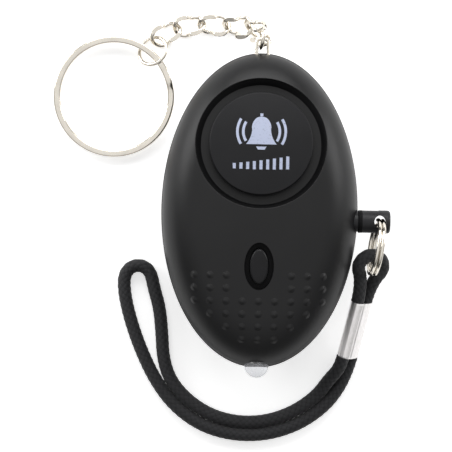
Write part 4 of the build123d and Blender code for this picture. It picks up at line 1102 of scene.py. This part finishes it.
studio = {"floor": "#F0F0F0", "floorSize": 2000.0, "floorDrop": 0.02, "floorGlow": 0.62,
          "cameraHeight": 450.0, "lens": 173.6, "roll": 1.1, "frameCentre": (-6.84, -3.35),
          "level": 12.0,
          "sky": ((0.0, "#6E6E6E"), (0.3, "#5A5A5A"), (0.5, "#B0B0B0"), (0.85, "#F4F4F4")),
          "front": 1.0, "back": 1.3, "fill": 0.35}
lamps = {"leftBox": {"at": (-0.55, 0.28, 0.20), "size": (0.35, 0.30), "watts": 2.1},
         "rightBox": {"at": (0.58, 0.22, 0.20), "size": (0.30, 0.30), "watts": 1.6},
         "backBox": {"at": (0.0, 0.60, 0.42), "size": (0.8, 0.4), "watts": 4.3}}


def buildFloor():
    half = studio["floorSize"] / 2
    material = bpy.data.materials.new("whiteSweep")
    material.use_nodes = True
    tree = material.node_tree
    tree.nodes.clear()
    diffuse = addNode(tree, "ShaderNodeBsdfDiffuse", {"Color": linear(studio["floor"])})
    glow = addNode(tree, "ShaderNodeEmission", {"Color": (1, 1, 1, 1),
                   "Strength": studio["floorGlow"]})
    both = addNode(tree, "ShaderNodeAddShader", links={0: diffuse.outputs[0], 1: glow.outputs[0]})
    seen = seenRays(tree, "Is Camera Ray", "Is Glossy Ray", "Is Transmission Ray")
    mix = addNode(tree, "ShaderNodeMixShader", links={0: seen, 1: diffuse.outputs[0],
                  2: both.outputs[0]})
    addNode(tree, "ShaderNodeOutputMaterial", links={"Surface": mix.outputs[0]})
    corners = [(-half, -half, 0), (half, -half, 0), (half, half, 0), (-half, half, 0)]
    floor = newObject("floor", corners, [(0, 1, 2, 3)], material)
    floor.location.z = -studio["floorDrop"] * mm


def seenRays(tree, *kinds):  # 1 for rays of these kinds, which see the white background
    path = addNode(tree, "ShaderNodeLightPath")
    seen = path.outputs[kinds[0]]
    for kind in kinds[1:]:
        either = addNode(tree, "ShaderNodeMath", {"operation": "MAXIMUM"},
                         {0: seen, 1: path.outputs[kind]})
        seen = either.outputs[0]
    return seen


def buildWorld():  # a soft room: bright overhead and behind, dim low down and in front
    world = bpy.data.worlds.new("studio")
    bpy.context.scene.world = world
    world.use_nodes = True
    tree = world.node_tree
    tree.nodes.clear()
    coords = addNode(tree, "ShaderNodeTexCoord")
    way = addNode(tree, "ShaderNodeSeparateXYZ", links={0: coords.outputs["Generated"]})
    ramp = addNode(tree, "ShaderNodeValToRGB", {"stops": studio["sky"]}, {"Fac": way.outputs["Z"]})
    sky = ramp.outputs["Color"]
    level = addNode(tree, "ShaderNodeMapRange", {"From Min": -1.0, "To Min": studio["front"],
                    "To Max": studio["back"]}, {"Value": way.outputs["Y"]})
    room = addNode(tree, "ShaderNodeBackground", links={"Color": sky,
                   "Strength": level.outputs["Result"]})
    fill = addNode(tree, "ShaderNodeMath", {"operation": "MULTIPLY", 1: studio["fill"]},
                   {0: level.outputs["Result"]})
    soft = addNode(tree, "ShaderNodeBackground", links={"Color": sky, "Strength": fill.outputs[0]})
    mirrored = addNode(tree, "ShaderNodeMixShader", links={0: seenRays(tree, "Is Glossy Ray"),
                       1: soft.outputs[0], 2: room.outputs[0]})
    white = addNode(tree, "ShaderNodeBackground", {"Color": (1, 1, 1, 1), "Strength": 1.0})
    seen = seenRays(tree, "Is Camera Ray", "Is Transmission Ray")
    mix = addNode(tree, "ShaderNodeMixShader", links={0: seen, 1: mirrored.outputs[0],
                  2: white.outputs[0]})
    addNode(tree, "ShaderNodeOutputWorld", links={"Surface": mix.outputs[0]})


def buildLamps():
    for name, lampValues in lamps.items():
        light = bpy.data.lights.new(name, "AREA")
        light.shape = "RECTANGLE"
        light.size, light.size_y = lampValues["size"]
        light.energy = lampValues["watts"]
        holder = bpy.data.objects.new(name, light)
        holder.location = lampValues["at"]
        aim = Vector((0, 0, 0.01)) - Vector(lampValues["at"])
        holder.rotation_euler = aim.to_track_quat("-Z", "Y").to_euler()
        bpy.context.scene.collection.objects.link(holder)


def buildCamera():
    camera = bpy.data.cameras.new("camera")
    camera.lens = studio["lens"]
    camera.sensor_width = 36.0
    camera.clip_start, camera.clip_end = 0.01, 10
    holder = bpy.data.objects.new("camera", camera)
    x, y = studio["frameCentre"]
    holder.location = (x * mm, y * mm, (studio["level"] + studio["cameraHeight"]) * mm)
    holder.rotation_euler = (0, 0, math.radians(studio["roll"]))
    bpy.context.scene.collection.objects.link(holder)
    bpy.context.scene.camera = holder


buildFloor()
buildWorld()
buildLamps()
buildCamera()
bpy.context.scene.view_settings.view_transform = "Standard"
print("stage made")
